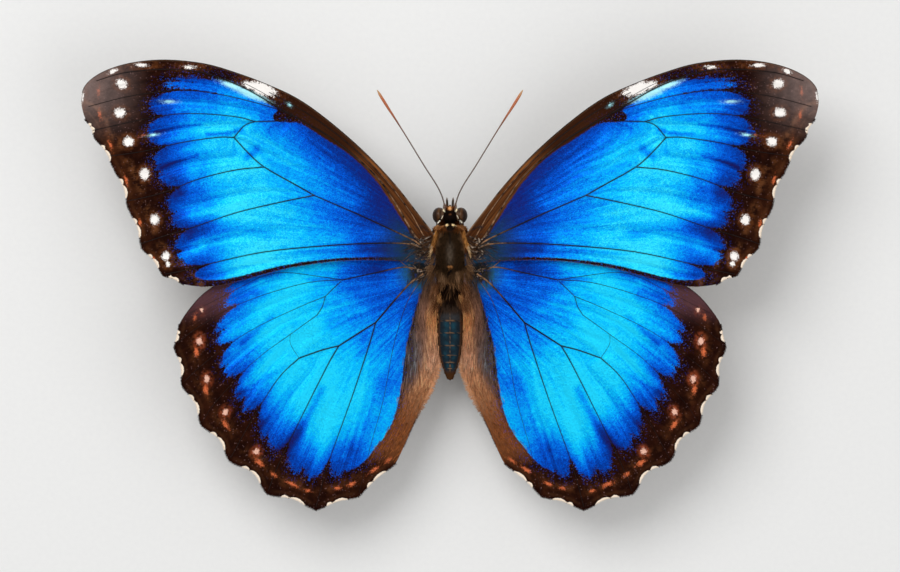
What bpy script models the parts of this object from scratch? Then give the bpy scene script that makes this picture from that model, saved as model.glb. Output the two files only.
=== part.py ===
"""Blue morpho butterfly, life size, standing with its wings spread flat.

Metres, +Z up. The head points to +Y, the wings reach along X, and the origin lies on
the floor under the middle of the whole insect. Lengths in the tables are millimetres.
"""

from math import cos, exp, pi, sin, tau

import bmesh
import bpy
from mathutils import Matrix, Vector

MM = 0.001

# Whole insect
GAP = 0.3  # clear space between neighbouring solids
Y_SHIFT = 0.04  # brings the middle of the whole length over the origin
SIDES = {"left": -1, "right": 1}

# Wings
WING_THICKNESS = 0.5
WING_CELL = 5.0  # the plates are bent along a grid of this size
SHOULDER_Z = 11.6  # mid height between fore and hind wing at the thorax
SHOULDER_X = 3.0
HALF_SPAN = 60.0
TIP_RISE = 4.4  # how much higher the tips are held than the shoulders
OVERLAP_STEP = 0.55  # the forewing lies this far above the mid height, the hindwing below
HIND_DROOP = 2.4  # fall of the hindwing's rear edge
INNER_FOLD = 2.6  # how far the hindwing's inner edge turns down beside the abdomen

# Fore wing: leading edge from the root round the tip, teeth at the vein ends with the
# depth of the bay that follows each, then the trailing edge back to the root
FOREWING_LEAD = [
    (2.3, 8.2), (5.3, 12.1), (9.0, 16.8), (14.0, 22.1), (20.0, 27.3), (25.0, 30.8),
    (30.0, 33.1), (35.0, 34.95), (40.0, 36.35), (46.0, 36.95), (51.0, 36.6),
    (55.0, 35.6), (58.0, 34.1), (59.7, 32.3), (60.1, 30.0),
]  # fmt: skip
FOREWING_TEETH = [
    (59.5, 27.1, 0.3), (57.9, 24.0, 0.4), (54.8, 19.0, 0.5), (52.5, 12.6, 0.45),
    (50.3, 6.1, 0.35), (46.8, 1.6, 0.25), (43.4, 0.1, 0.0),
]  # fmt: skip
FOREWING_TRAIL = [
    (40.0, 0.05), (36.0, 0.95), (32.0, 2.3), (26.0, 3.3), (20.0, 4.4), (14.0, 4.55),
    (9.5, 4.4), (7.0, 5.2), (2.3, 4.6),
]  # fmt: skip

# Hind wing, in the same order; its leading edge runs under the fore wing
HINDWING_LEAD = [
    (2.3, 3.4), (6.0, 5.2), (12.0, 6.6), (20.0, 6.4), (28.0, 4.9), (34.0, 2.9),
    (38.6, 0.1), (41.0, -1.8), (43.0, -4.2),
]  # fmt: skip
HINDWING_TEETH = [
    (44.3, -6.2, 0.1), (45.15, -10.0, 0.5), (43.9, -16.3, 0.7), (40.8, -22.8, 0.9),
    (36.2, -28.7, 1.1), (30.0, -34.3, 0.6), (22.0, -37.0, 0.35), (15.0, -34.8, 0.3),
    (8.8, -29.3, 0.0),
]  # fmt: skip
HINDWING_TRAIL = [
    (7.6, -26.5), (6.0, -22.2), (4.2, -18.0), (2.8, -15.3), (2.1, -13.2), (2.3, -10.6),
    (2.6, -7.0), (2.6, -2.0), (2.3, 0.2),
]  # fmt: skip
BAY_STEPS = 6

# Body: stations along Y as (y, half width, top z, bottom z)
HEAD = [
    (10.35, 1.3, 11.0, 8.0), (10.7, 1.7, 11.5, 7.6), (11.5, 1.85, 11.7, 7.4),
    (12.3, 1.65, 11.4, 7.6), (12.9, 1.15, 10.9, 8.0), (13.2, 0.55, 10.2, 8.7),
]  # fmt: skip
COLLAR = [
    (9.1, 2.3, 12.3, 7.1), (9.35, 2.75, 12.6, 6.9), (9.75, 2.7, 12.4, 7.1),
    (10.05, 2.1, 11.8, 7.7),
]  # fmt: skip
THORAX = [
    (-0.9, 1.75, 10.9, 7.3), (-0.3, 2.3, 11.4, 6.8), (0.7, 2.75, 11.9, 6.4),
    (2.0, 3.05, 12.5, 6.0), (3.4, 3.15, 13.0, 5.8), (5.2, 3.2, 13.3, 5.7),
    (6.8, 3.1, 13.3, 5.9), (7.9, 2.75, 13.0, 6.3), (8.5, 2.3, 12.6, 6.8),
    (8.8, 1.8, 12.2, 7.2),
]  # fmt: skip
BODY_SIDES = 20

# Abdomen: rings grow out from the waist and shrink to the tip; the axis sinks backwards
ABDOMEN_FRONT = -1.2
ABDOMEN_JOINTS = [-3.4, -5.8, -7.8, -9.7, -11.3, -12.6, -13.7, -14.7, -15.7]
ABDOMEN_HALF_WIDTHS = [1.7, 2.05, 2.15, 2.12, 1.97, 1.72, 1.42, 1.15, 0.85, 0.3]
ABDOMEN_Z = 9.0
ABDOMEN_SINK = 1.5
JOINT_PINCH = 0.93

# Head organs
EYE_PLACE = (1.8, 11.6, 9.8)
EYE_RADII = (1.1, 1.35, 1.5)
PALP = [(0.5, 12.5, 7.9), (0.58, 13.4, 8.1), (0.6, 14.1, 8.9), (0.56, 14.5, 10.0)]
PALP_RADII = [0.4, 0.46, 0.42, 0.28]
ANTENNA = [
    (0.95, 12.4, 10.9), (1.05, 13.9, 11.5), (2.0, 16.2, 12.2), (4.3, 19.8, 13.2),
    (7.0, 24.2, 14.3), (8.9, 27.2, 15.05),
]  # fmt: skip
ANTENNA_RADIUS = 0.26
CLUB = [(9.08, 27.48, 15.12), (10.2, 29.2, 15.5), (11.2, 30.8, 15.9), (11.85, 31.9, 16.15)]
CLUB_RADII = [0.27, 0.33, 0.36, 0.27]
COIL_CENTRE = (12.9, 6.1)  # y, z of the rolled tongue
COIL_TURNS = 1.7
COIL_RADII = (1.3, 0.3)
TONGUE_RADIUS = 0.25

# Tegulae, the scale-covered flaps over the fore wing roots
TEGULA_PLACE = (2.75, 6.9, 13.1)
TEGULA_RADII = (0.62, 2.0, 0.42)
TEGULA_TURN = 0.38
TEGULA_ROLL = 0.5

# Legs: hip, knee, ankle, middle and end of the foot; the feet lie along the floor
LEGS = {
    "foreleg": [(1.3, 8.2, 7.4), (2.1, 10.0, 5.9), (1.75, 12.2, 6.2), (1.6, 13.0, 6.6)],
    "midleg": [(1.2, 5.6, 7.0), (7.6, 7.2, 6.9), (12.2, 8.2, 1.3), (14.2, 8.7, 0.24),
               (17.2, 9.5, 0.22)],
    "hindleg": [(1.2, 2.2, 7.0), (6.4, -2.2, 7.3), (10.0, -6.4, 1.4), (11.2, -8.3, 0.24),
                (12.9, -10.9, 0.22)],
}  # fmt: skip
LEG_RADII = {
    "foreleg": [0.4, 0.38, 0.32, 0.27],
    "midleg": [0.6, 0.42, 0.32, 0.3, 0.3],
    "hindleg": [0.6, 0.42, 0.32, 0.3, 0.3],
}

# Colours (linear RGB), roughness and metallic
BLUE = ((0.004, 0.28, 0.85), 0.35, 0.35)
BLACK_BROWN = ((0.02, 0.011, 0.007), 0.75, 0.0)
HAIR_BROWN = ((0.05, 0.032, 0.02), 0.85, 0.0)
RUST = ((0.13, 0.04, 0.012), 0.8, 0.0)
SLATE = ((0.03, 0.045, 0.055), 0.6, 0.0)
EYE_BROWN = ((0.03, 0.014, 0.008), 0.15, 0.0)
LEG_BROWN = ((0.06, 0.03, 0.015), 0.6, 0.0)


def new_collection(name):
    collection = bpy.data.collections.new(name)
    bpy.context.scene.collection.children.link(collection)
    return collection


def material(name, look):
    colour, roughness, metallic = look
    made = bpy.data.materials.new(name)
    made.use_nodes = True
    shader = made.node_tree.nodes["Principled BSDF"]
    shader.inputs["Base Color"].default_value = (*colour, 1.0)
    shader.inputs["Roughness"].default_value = roughness
    shader.inputs["Metallic"].default_value = metallic
    return made


def add_object(name, mesh, look=None, collection=None):
    """Puts a mesh in the model, or in another collection such as the cutters'."""
    made = bpy.data.objects.new(name, mesh)
    (collection or morpho).objects.link(made)
    if look:
        mesh.materials.append(material(name, look))
    return made


def mesh_from(bm, name):
    """Closes a bmesh into a smooth-shaded mesh with its faces pointing out."""
    bmesh.ops.recalc_face_normals(bm, faces=bm.faces)
    mesh = bpy.data.meshes.new(name)
    bm.to_mesh(mesh)
    bm.free()
    mesh.shade_smooth()
    return mesh


def placed(point, side=1):
    """Turns a millimetre point of the right side into a Vector on either side."""
    x, y, z = point
    return Vector((side * x, y + Y_SHIFT, z)) * MM


def smooth_curve(points, steps):
    """Points along a Catmull-Rom curve through the given ones."""
    vectors = [Vector(p) for p in points]
    padded = [vectors[0] * 2 - vectors[1], *vectors, vectors[-1] * 2 - vectors[-2]]
    run = []
    for a, b, c, d in zip(padded, padded[1:], padded[2:], padded[3:]):
        for i in range(steps):
            t = i / steps
            run.append(
                (b * 2 + (c - a) * t + (a * 2 - b * 5 + c * 4 - d) * t**2
                 + (b * 3 - a - c * 3 + d) * t**3) / 2
            )  # fmt: skip
    return [*run, vectors[-1]]


def ring(y, half_width, top, bottom, sides=BODY_SIDES):
    """One elliptical cross section of the body."""
    middle, half_height = (top + bottom) / 2, (top - bottom) / 2
    turns = [tau * i / sides for i in range(sides)]
    return [placed((half_width * cos(a), y, middle + half_height * sin(a))) for a in turns]


def loft(name, sections):
    """A closed solid through cross sections that follow each other along Y."""
    bm = bmesh.new()
    rings = [[bm.verts.new(p) for p in section] for section in sections]
    for near, far in zip(rings, rings[1:]):
        for i in range(len(near)):
            bm.faces.new((near[i - 1], near[i], far[i], far[i - 1]))
    bm.faces.new(rings[0])
    bm.faces.new(rings[-1])
    return mesh_from(bm, name)


def body_mesh(name, stations, grow=0.0):
    """Lofts stations; a grown copy is larger all round, to cut a neighbour with."""
    sections = []
    for i, (y, half_width, top, bottom) in enumerate(stations):
        outward = {0: -grow, len(stations) - 1: grow}.get(i, 0.0)
        sections.append(ring(y + outward, half_width + grow, top + grow, bottom - grow))
    return loft(name, sections)


def ellipsoid(name, place, radii, side, turn=Matrix(), grow=0.0, rings=(14, 9)):
    """A sphere stretched to its radii, turned and set at its place."""
    bm = bmesh.new()
    bmesh.ops.create_uvsphere(bm, u_segments=rings[0], v_segments=rings[1], radius=1.0)
    size = Matrix.Diagonal([(r + grow) * MM for r in radii]).to_4x4()
    bmesh.ops.transform(bm, matrix=turn @ size, verts=bm.verts)
    bmesh.ops.translate(bm, vec=placed(place, side), verts=bm.verts)
    return mesh_from(bm, name)


def tube(name, points, radii, side, steps=3):
    """A round tube with filled ends whose thickness follows the radii."""
    curve = bpy.data.curves.new(name, "CURVE")
    curve.dimensions = "3D"
    curve.bevel_depth = MM
    curve.bevel_resolution = 1
    curve.use_fill_caps = True
    spline = curve.splines.new("POLY")
    run = smooth_curve([(*p, r) for p, r in zip(points, radii)], steps)
    spline.points.add(len(run) - 1)
    for knot, (x, y, z, radius) in zip(spline.points, run):
        knot.co = (*placed((x, y, z), side), 1.0)
        knot.radius = radius
    return welded(name, curve)


def welded(name, curve):
    """Turns a curve into one closed mesh and removes the curve."""
    guide = bpy.data.objects.new(name + "_guide", curve)
    morpho.objects.link(guide)
    bpy.context.view_layer.update()
    evaluated = guide.evaluated_get(bpy.context.evaluated_depsgraph_get())
    mesh = bpy.data.meshes.new_from_object(evaluated)
    bpy.data.objects.remove(guide)
    bpy.data.curves.remove(curve)
    bm = bmesh.new()
    bm.from_mesh(mesh)
    bpy.data.meshes.remove(mesh)
    bmesh.ops.remove_doubles(bm, verts=bm.verts, dist=0.005 * MM)
    return mesh_from(bm, name)


def cut(target, cutter_name, cutter_mesh):
    """Takes a neighbour's grown shape out of the target."""
    cutter = add_object(cutter_name, cutter_mesh, collection=cutters)
    cutter.hide_render = True
    cutter.display_type = "WIRE"
    modifier = target.modifiers.new("fit_" + cutter_name, "BOOLEAN")
    modifier.operation = "DIFFERENCE"
    modifier.object = cutter


def bay_points(teeth):
    """The toothed outer margin: a shallow hollow between each two vein ends."""
    run = []
    for (x0, y0, depth), (x1, y1, _) in zip(teeth, teeth[1:]):
        tooth, step = Vector((x0, y0)), Vector((x1 - x0, y1 - y0))
        inward = Vector((step.y, -step.x)).normalized()
        for i in range(BAY_STEPS):
            t = i / BAY_STEPS
            run.append(tooth + step * t + inward * depth * sin(pi * t) ** 2)
    return [*run, Vector(teeth[-1][:2])]


def wing_outline(lead, teeth, trail):
    lead_run = smooth_curve([*lead, teeth[0][:2]], 2)[:-1]
    trail_run = smooth_curve([teeth[-1][:2], *trail], 2)[1:]
    return [*lead_run, *bay_points(teeth), *trail_run]


def wing_height(x, y, is_hind):
    """Mid height of a wing plate at a point, in millimetres."""
    reach = (abs(x) - SHOULDER_X) / (HALF_SPAN - SHOULDER_X)
    z = SHOULDER_Z + TIP_RISE * sin(reach * pi / 2)
    if not is_hind:
        return z + OVERLAP_STEP
    behind = max(0.0, -y)
    droop = HIND_DROOP * (behind / 37.0) ** 2
    fold = INNER_FOLD * exp(-(((abs(x) - 2.0) / 4.0) ** 2)) * min(1.0, behind / 5.0)
    return z - OVERLAP_STEP - droop - fold


def wing_plate(name, outline, side, is_hind):
    """A flat plate of the wing's outline, bent to the wing's height."""
    curve = bpy.data.curves.new(name, "CURVE")
    curve.dimensions = "2D"
    curve.fill_mode = "BOTH"
    spline = curve.splines.new("POLY")
    spline.use_cyclic_u = True
    spline.points.add(len(outline) - 1)
    for knot, (x, y) in zip(spline.points, outline):
        knot.co = (*placed((x, y, 0.0), side), 1.0)
    flat = welded(name, curve)
    bm = bmesh.new()
    bm.from_mesh(flat)
    bpy.data.meshes.remove(flat)
    bmesh.ops.dissolve_faces(bm, faces=bm.faces)
    for axis in (Vector((1, 0, 0)), Vector((0, 1, 0))):
        for i in range(-12, 13):
            bmesh.ops.bisect_plane(
                bm,
                geom=[*bm.verts, *bm.edges, *bm.faces],
                plane_co=axis * i * WING_CELL * MM,
                plane_no=axis,
                dist=0.1 * MM,
            )
    for vert in bm.verts:
        x, y = vert.co.x / MM, vert.co.y / MM - Y_SHIFT
        vert.co.z = wing_height(x, y, is_hind) * MM
    bmesh.ops.triangulate(bm, faces=bm.faces)
    return mesh_from(bm, name)


def add_wing(name, lead, teeth, trail, side, is_hind):
    outline = wing_outline(lead, teeth, trail)
    wing = add_object(name, wing_plate(name, outline, side, is_hind), BLUE)
    shell = wing.modifiers.new("thickness", "SOLIDIFY")
    shell.thickness = WING_THICKNESS * MM
    shell.offset = 0.0
    cut(wing, "thorax_room_" + name, body_mesh("thorax_room", THORAX, GAP))
    return wing


def add_abdomen():
    """Ringed abdomen: each joint is a shallow groove between two swollen rings."""
    ends = [ABDOMEN_FRONT, *ABDOMEN_JOINTS]
    sections = []

    def section(y, half_width):
        sink = ABDOMEN_SINK * ((ABDOMEN_FRONT - y) / (ABDOMEN_FRONT - ends[-1])) ** 1.5
        middle = ABDOMEN_Z - sink
        sections.append(ring(y, half_width, middle + half_width, middle - half_width, 16))

    widths = list(zip(ABDOMEN_HALF_WIDTHS, ABDOMEN_HALF_WIDTHS[1:]))
    for (front, rear), (wide, narrow) in zip(zip(ends, ends[1:]), widths):
        section(front, wide * (JOINT_PINCH if sections else 1.0))
        section(front * 0.75 + rear * 0.25, wide * 0.8 + narrow * 0.2)
        section(front * 0.3 + rear * 0.7, wide * 0.3 + narrow * 0.7)
    section(ends[-1], ABDOMEN_HALF_WIDTHS[-1])
    return add_object("abdomen", loft("abdomen", sections), SLATE)


def add_head():
    head = add_object("head", body_mesh("head", HEAD), BLACK_BROWN)
    for name, side in SIDES.items():
        eye = ellipsoid("eye_" + name, EYE_PLACE, EYE_RADII, side)
        add_object("eye_" + name, eye, EYE_BROWN)
        socket = ellipsoid("socket", EYE_PLACE, EYE_RADII, side, grow=GAP)
        cut(head, "socket_" + name, socket)
        palp = add_object("palp_" + name, tube("palp", PALP, PALP_RADII, side), RUST)
        cut(palp, "head_room_palp_" + name, body_mesh("head_room", HEAD, GAP))
        radii = [ANTENNA_RADIUS] * len(ANTENNA)
        shaft = add_object("antenna_" + name, tube("antenna", ANTENNA, radii, side), LEG_BROWN)
        cut(shaft, "head_room_antenna_" + name, body_mesh("head_room", HEAD, GAP))
        add_object("antenna_club_" + name, tube("club", CLUB, CLUB_RADII, side), RUST)


def add_tongue():
    """The tongue, rolled into a flat spiral under the head."""
    outer, inner = COIL_RADII
    count = 20
    points = []
    for i in range(count + 1):
        t = i / count
        angle = 0.3 * pi + tau * COIL_TURNS * t
        radius = outer + (inner - outer) * t
        y, z = COIL_CENTRE
        points.append((0.0, y + radius * cos(angle), z + radius * sin(angle)))
    coil = tube("proboscis", points, [TONGUE_RADIUS] * len(points), 1, steps=1)
    return add_object("proboscis", coil, LEG_BROWN)


def add_tegula(name, side):
    lie = Matrix.Rotation(side * TEGULA_TURN, 4, "Z") @ Matrix.Rotation(side * TEGULA_ROLL, 4, "Y")
    flap = ellipsoid(name, TEGULA_PLACE, TEGULA_RADII, side, lie, rings=(12, 8))
    tegula = add_object(name, flap, RUST)
    cut(tegula, "thorax_room_" + name, body_mesh("thorax_room", THORAX, GAP))


def add_leg(kind, name, side):
    mesh = tube(name, LEGS[kind], LEG_RADII[kind], side)
    bm = bmesh.new()
    bm.from_mesh(mesh)
    bpy.data.meshes.remove(mesh)
    floor_cut = bmesh.ops.bisect_plane(
        bm,
        geom=[*bm.verts, *bm.edges, *bm.faces],
        plane_co=(0, 0, 0),
        plane_no=(0, 0, -1),
        clear_outer=True,
        dist=0.001 * MM,
    )
    edges = [e for e in floor_cut["geom_cut"] if isinstance(e, bmesh.types.BMEdge)]
    if edges:
        bmesh.ops.holes_fill(bm, edges=edges)
    leg = add_object(name, mesh_from(bm, name), LEG_BROWN)
    cut(leg, "thorax_room_" + name, body_mesh("thorax_room", THORAX, GAP))


for old in list(bpy.data.objects):
    bpy.data.objects.remove(old)
morpho = new_collection("blue_morpho")
cutters = new_collection("cutters")

add_object("thorax", body_mesh("thorax", THORAX), HAIR_BROWN)
add_object("collar", body_mesh("collar", COLLAR), RUST)
add_abdomen()
add_head()
add_tongue()
for side_name, side_sign in SIDES.items():
    add_wing(
        "forewing_" + side_name, FOREWING_LEAD, FOREWING_TEETH, FOREWING_TRAIL, side_sign, False
    )
    add_wing(
        "hindwing_" + side_name, HINDWING_LEAD, HINDWING_TEETH, HINDWING_TRAIL, side_sign, True
    )
    add_tegula("tegula_" + side_name, side_sign)
    for leg_kind in LEGS:
        add_leg(leg_kind, f"{leg_kind}_{side_name}", side_sign)
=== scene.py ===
"""Looks of the blue morpho butterfly: scaled wings with their veins and fringes, the
furred body, eyes, feelers, tongue and legs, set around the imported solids.

Tables are in millimetres, with x counted outwards from the middle of the body, because
the left and right sides mirror each other. +Y is towards the head and +Z is up.
"""

from math import cos, pi, radians, sin, sqrt, tau

import bmesh
import bpy
import numpy as np
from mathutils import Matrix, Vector, geometry


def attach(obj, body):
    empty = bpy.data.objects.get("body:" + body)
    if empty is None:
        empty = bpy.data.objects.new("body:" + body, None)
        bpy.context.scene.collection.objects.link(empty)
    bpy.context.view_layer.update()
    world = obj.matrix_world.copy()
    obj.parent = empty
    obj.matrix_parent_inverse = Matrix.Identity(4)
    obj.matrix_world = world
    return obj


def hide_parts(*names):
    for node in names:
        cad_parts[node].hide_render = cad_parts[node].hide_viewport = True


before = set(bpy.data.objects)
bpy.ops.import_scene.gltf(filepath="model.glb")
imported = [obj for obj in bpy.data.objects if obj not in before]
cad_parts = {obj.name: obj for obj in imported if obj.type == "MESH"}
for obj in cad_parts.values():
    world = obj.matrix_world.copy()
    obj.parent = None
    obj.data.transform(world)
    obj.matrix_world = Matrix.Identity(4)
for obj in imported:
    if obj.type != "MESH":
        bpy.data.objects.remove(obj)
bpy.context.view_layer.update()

MM = 0.001
Y_SHIFT = 0.04
SIDES = {"left": -1, "right": 1}
BAKE_MAP = "OFBake"
TUFT_PATCH = 0.003  # width of one tuft's patch on the bake map

# ---------------------------------------------------------------- wing outlines and heights

SHOULDER_Z = 11.6
SHOULDER_X = 3.0
HALF_SPAN = 60.0
TIP_RISE = 4.4
OVERLAP_STEP = 0.55
HIND_DROOP = 2.4
INNER_FOLD = 2.6
FRINGE = 0.2  # how far the scales of the fringe stand out past the sheet of the wing
WHITE_DEPTH = 0.52  # how far the white of the fringe reaches inwards
FILM = 0.1  # thickness of the membrane with its scales
CELL = 0.3  # spacing of the wing's points
EDGE_INSETS = (0.08, FRINGE, 0.12)  # of the sheet from the leading, toothed and trailing edges

FOREWING = {
    "root": (4.5, 6.8),
    "lead": [
        (2.3, 8.2), (5.3, 12.1), (9, 16.8), (14, 22.1), (20, 27.3), (25, 30.8), (30, 33.1), (35, 34.95),
        (40, 36.35), (46, 36.95), (51, 36.6), (55, 35.6), (58, 34.1), (59.7, 32.3), (60.1, 30),
    ],
    "teeth": [
        (59.5, 27.1, 0.3), (57.9, 24, 0.4), (54.8, 19, 0.5), (52.5, 12.6, 0.45), (50.3, 6.1, 0.35),
        (46.8, 1.6, 0.25), (43.4, 0.1, 0),
    ],
    "trail": [
        (40.6, -0.2), (38, -0.05), (35, 0.6), (31, 1.7), (26.5, 2.85), (22, 3.6), (18, 4.05),
        (13.5, 4.2), (9.2, 4.1), (6, 3.9), (2.3, 3.2),
    ],
}
HINDWING = {
    "root": (5, 2.2),
    "lead": [
        (2.3, 3.4), (6, 5.2), (12, 6.6), (20, 6.4), (28, 4.9), (34, 2.9), (38.6, 0.1), (41, -1.8),
        (43, -4.2),
    ],
    "teeth": [
        (44.3, -6.2, 0.1), (45.15, -10, 0.5), (43.9, -16.3, 0.7), (40.8, -22.8, 0.9),
        (36.2, -28.7, 1.1), (30, -34.3, 0.6), (22, -37, 0.35), (15, -34.8, 0.3), (8.8, -29.3, 0),
    ],
    "trail": [
        (7.5, -26.5), (5.6, -22.2), (3.6, -18), (2.4, -15), (1.72, -12.6), (1.7, -10.6), (1.9, -7),
        (2.1, -2), (2.1, 0.2),
    ],
}
WHITE_DASHES = (0.26, 0.42, 0.76)  # the white in each bay between two teeth, parted at the fold

# Veins as (radius at start and end, place from leading edge 0 to trailing edge 9, points)
FOREWING["veins"] = {
    "subcosta": (
        (0.16, 0.07), 1,
        [
            (3.8, 7.3), (5.3, 10), (6.5, 12.1), (9.7, 16.4), (13.2, 20.2), (18.5, 24.8), (24, 28.6),
            (29.5, 31.6),
        ],
    ),
    "radius": (
        (0.26, 0.08), 2,
        [
            (4.2, 6.6), (5.8, 8.3), (8.05, 12.1), (10, 15.2), (12, 17.9), (16, 21.6), (20, 24.6),
            (25.8, 27.9), (29.5, 30), (34, 32.5), (40, 34.7), (46, 35.3), (53, 34.7), (57.5, 33.4),
        ],
    ),
    "radius_fork": ((0.06, 0.05), 1.5, [(25.8, 28.1), (30, 31.2), (36, 34.1), (43, 36)]),
    "upper_branch": (
        (0.08, 0.07), 3,
        [(25.8, 27.9), (29, 29.1), (33, 30.2), (38, 31.3), (44, 31.9), (52, 30.9), (58.8, 29.2)],
    ),
    "cell_end": ((0.1, 0.1), 4, [(25.8, 27.9), (27.5, 27), (31.8, 26.8)]),
    "first_median": ((0.1, 0.07), 4, [(31.8, 26.8), (35, 27.6), (42, 28.1), (48, 27.5), (58.6, 25.2)]),
    "cross_vein": ((0.08, 0.1), 4.5, [(31.8, 26.8), (33.5, 26.2), (35.2, 24.2)]),
    "second_median": ((0.11, 0.07), 5, [(35.2, 24.2), (38, 24.2), (44, 23.3), (50, 21.9), (56.6, 21)]),
    "third_median": ((0.12, 0.07), 6, [(30.3, 19.4), (35, 18.9), (41, 17.4), (47, 15.1), (53.4, 13.6)]),
    "cubitus_branch": (
        (0.13, 0.07), 7, [(22.2, 14.8), (28, 13.6), (35, 11.9), (42, 9.5), (47, 8), (51, 6.6)],
    ),
    "cubitus": ((0.24, 0.1), 7, [(4.8, 6.6), (6, 7.5), (10, 9.4), (15, 11.7), (22.2, 14.8)]),
    "cubitus_end": (
        (0.15, 0.1), 5.7, [(22.2, 14.8), (25, 16.4), (30.3, 19.4), (33, 21.8), (35.2, 24.2)],
    ),
    "anal": (
        (0.2, 0.07), 8,
        [(4.6, 6.2), (6.8, 6.9), (12, 7), (20, 6.6), (30, 5.6), (38, 3.9), (43, 2.6), (46.4, 1.9)],
    ),
}
HINDWING["veins"] = {
    "humeral": ((0.12, 0.06), 0.5, [(6.2, 2.7), (7.25, 3.3), (8.7, 4.5), (10.5, 5.6)]),
    "radial_stem": ((0.17, 0.11), 1.5, [(4.6, 2.6), (7.6, 3.1), (12, 2.2), (17.6, 1)]),
    "upper_branch": (
        (0.08, 0.04), 1, [(17.6, 1), (21, 1.5), (27, 2.2), (31, 1.4), (36.5, -1.4), (42.4, -4.4)],
    ),
    "first_median": (
        (0.08, 0.04), 2, [(17.6, 1), (23, 0.6), (30, -1.3), (36, -3.7), (41.5, -7), (44.4, -9.3)],
    ),
    "cell_top": ((0.08, 0.07), 2.6, [(17.6, 1), (19.3, -0.6), (20.4, -1.7)]),
    "second_median": (
        (0.07, 0.04), 3, [(20.4, -1.7), (25, -3.6), (33, -7.5), (40, -12.5), (43.5, -15.7)],
    ),
    "cell_side": ((0.07, 0.07), 3.5, [(20.4, -1.7), (20.9, -3.4), (21.8, -4.8)]),
    "third_median": (
        (0.07, 0.04), 4, [(21.8, -4.8), (26.1, -7.9), (32, -12.3), (38, -18.6), (40.5, -22.2)],
    ),
    "cell_end": ((0.03, 0.05), 4.5, [(26.1, -7.9), (26.1, -9.5), (24.7, -11.8)]),
    "fourth_median": ((0.11, 0.05), 5, [(24.7, -11.8), (28, -15), (32, -21.2), (35.9, -28.1)]),
    "cubitus_tip": ((0.14, 0.12), 5.5, [(18.2, -9.8), (21, -10.5), (24.7, -11.8)]),
    "first_cubital": (
        (0.13, 0.06), 6, [(18.2, -9.8), (20, -12.9), (24, -20.8), (28, -29), (29.8, -33.6)],
    ),
    "cubitus_bend": ((0.17, 0.14), 6.5, [(12.2, -6), (14, -7.1), (18.2, -9.8)]),
    "second_cubital": (
        (0.14, 0.06), 7, [(12.2, -6), (13.2, -9.5), (16, -18), (20, -29.2), (22, -36.3)],
    ),
    "cubitus": ((0.24, 0.17), 7, [(4.4, 2), (6.45, 0.55), (8.7, -1.9), (12.2, -6)]),
    "anal": (
        (0.08, 0.035), 8,
        [(4.6, 1.2), (7.1, -2.8), (9.3, -10), (10.9, -18.5), (13, -26.1), (15, -34.2)],
    ),
}

# Edge of the blue field: the inner run beside the stem and rear edge, then the outer run
FOREWING["blue_inner"] = [
    (41.6, 1.2), (38, 1), (35, 1.45), (31, 2.45), (26.5, 3.5), (22, 4.2), (18, 4.6), (13.5, 4.75),
    (9.6, 4.75), (7.2, 5.2), (6.6, 8.4), (8.4, 11.6), (10.5, 14.9), (12.4, 17.5), (16.1, 21.2),
    (20.3, 24), (24.2, 26.4), (26.3, 26.7), (28.4, 26.9), (28.9, 27.8), (28.2, 28.8), (30, 29.9),
    (33, 31.8), (36, 33.1), (39, 34),
]
FOREWING["blue_outer"] = [
    (42, 34.5), (45.6, 33.7), (48.1, 32), (48.9, 30.2), (49, 27.6), (49.3, 25.2), (48.6, 22.6),
    (48, 19.6), (46.8, 16.6), (45.9, 13.2), (45.2, 10.2), (44.7, 7.6), (44.3, 5), (43.4, 3),
]
HINDWING["blue_inner"] = [
    (15.6, -30), (13.6, -28.3), (12, -26.2), (10.5, -24.3), (9.3, -22), (8.6, -19.5), (8, -16.5),
    (7.6, -13), (7, -9), (6.1, -5.5), (5, -2), (4.4, 1), (5.6, 4.4), (12, 7), (22, 7), (30, 4.6),
]
HINDWING["blue_outer"] = [
    (34.2, 2.4), (36.7, -0.6), (37.9, -5), (38.1, -9.5), (37.7, -12.8), (36, -15.6), (34.8, -18),
    (33.3, -20.9), (31.2, -23.8), (29.5, -26.4), (27.4, -28.6), (25.2, -30.6), (21.8, -31.6),
    (18.6, -31.2),
]

# Markings as (x, y, length, width, turn in degrees)
FOREWING["pale"] = [
    (53.4, 32.9, 1.9, 1.5, 20), (53.7, 28.2, 1.9, 1.6, 10), (52.4, 23.5, 1.8, 1.6, 0),
    (49.7, 18.2, 1.6, 1.9, 0), (48.1, 10.8, 1.5, 1.8, 0), (46.3, 4.9, 1.3, 1.5, 30),
    (45.9, 3.6, 0.7, 0.8, 0), (50.2, 35.95, 2, 0.5, 0), (42.4, 35.65, 1.7, 0.45, 0),
    (54.9, 34.9, 1.3, 0.6, -25), (30.6, 32.15, 5.2, 2, 20), (32.6, 32.7, 2.6, 1.1, 20),
    (59.1, 33.5, 1.7, 0.5, -50), (59.85, 30.8, 0.5, 1.9, 5),
]
FOREWING["aqua"] = [
    (32.6, 31.3, 6.4, 1.2, 22), (35.4, 32.6, 4.4, 0.9, 19), (45.7, 30, 2, 0.45, 0),
    (48.3, 24.6, 1.3, 0.3, -8), (26.2, 29.6, 0.8, 0.4, 40),
]
FOREWING["ember"] = [
    (57.2, 31.6, 0.6, 1.8, 5), (57, 27.9, 0.55, 1.8, -10), (55.3, 23, 0.5, 2.2, -22),
    (52.7, 17.2, 0.5, 2, -15), (50.5, 10.2, 0.55, 1.6, -12), (50, 24.5, 1.6, 0.3, -8),
    (48.3, 4.4, 0.6, 1.2, -30),
]
HINDWING["pale"] = [
    (40.9, -9, 0.9, 1.3, 0), (39.7, -15.2, 0.85, 1.2, 0), (36.7, -20.6, 0.85, 1.1, 20),
    (31.7, -27.1, 0.85, 1, 40), (40.5, -3.9, 0.5, 0.6, 0),
]
HINDWING["aqua"] = []
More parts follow.
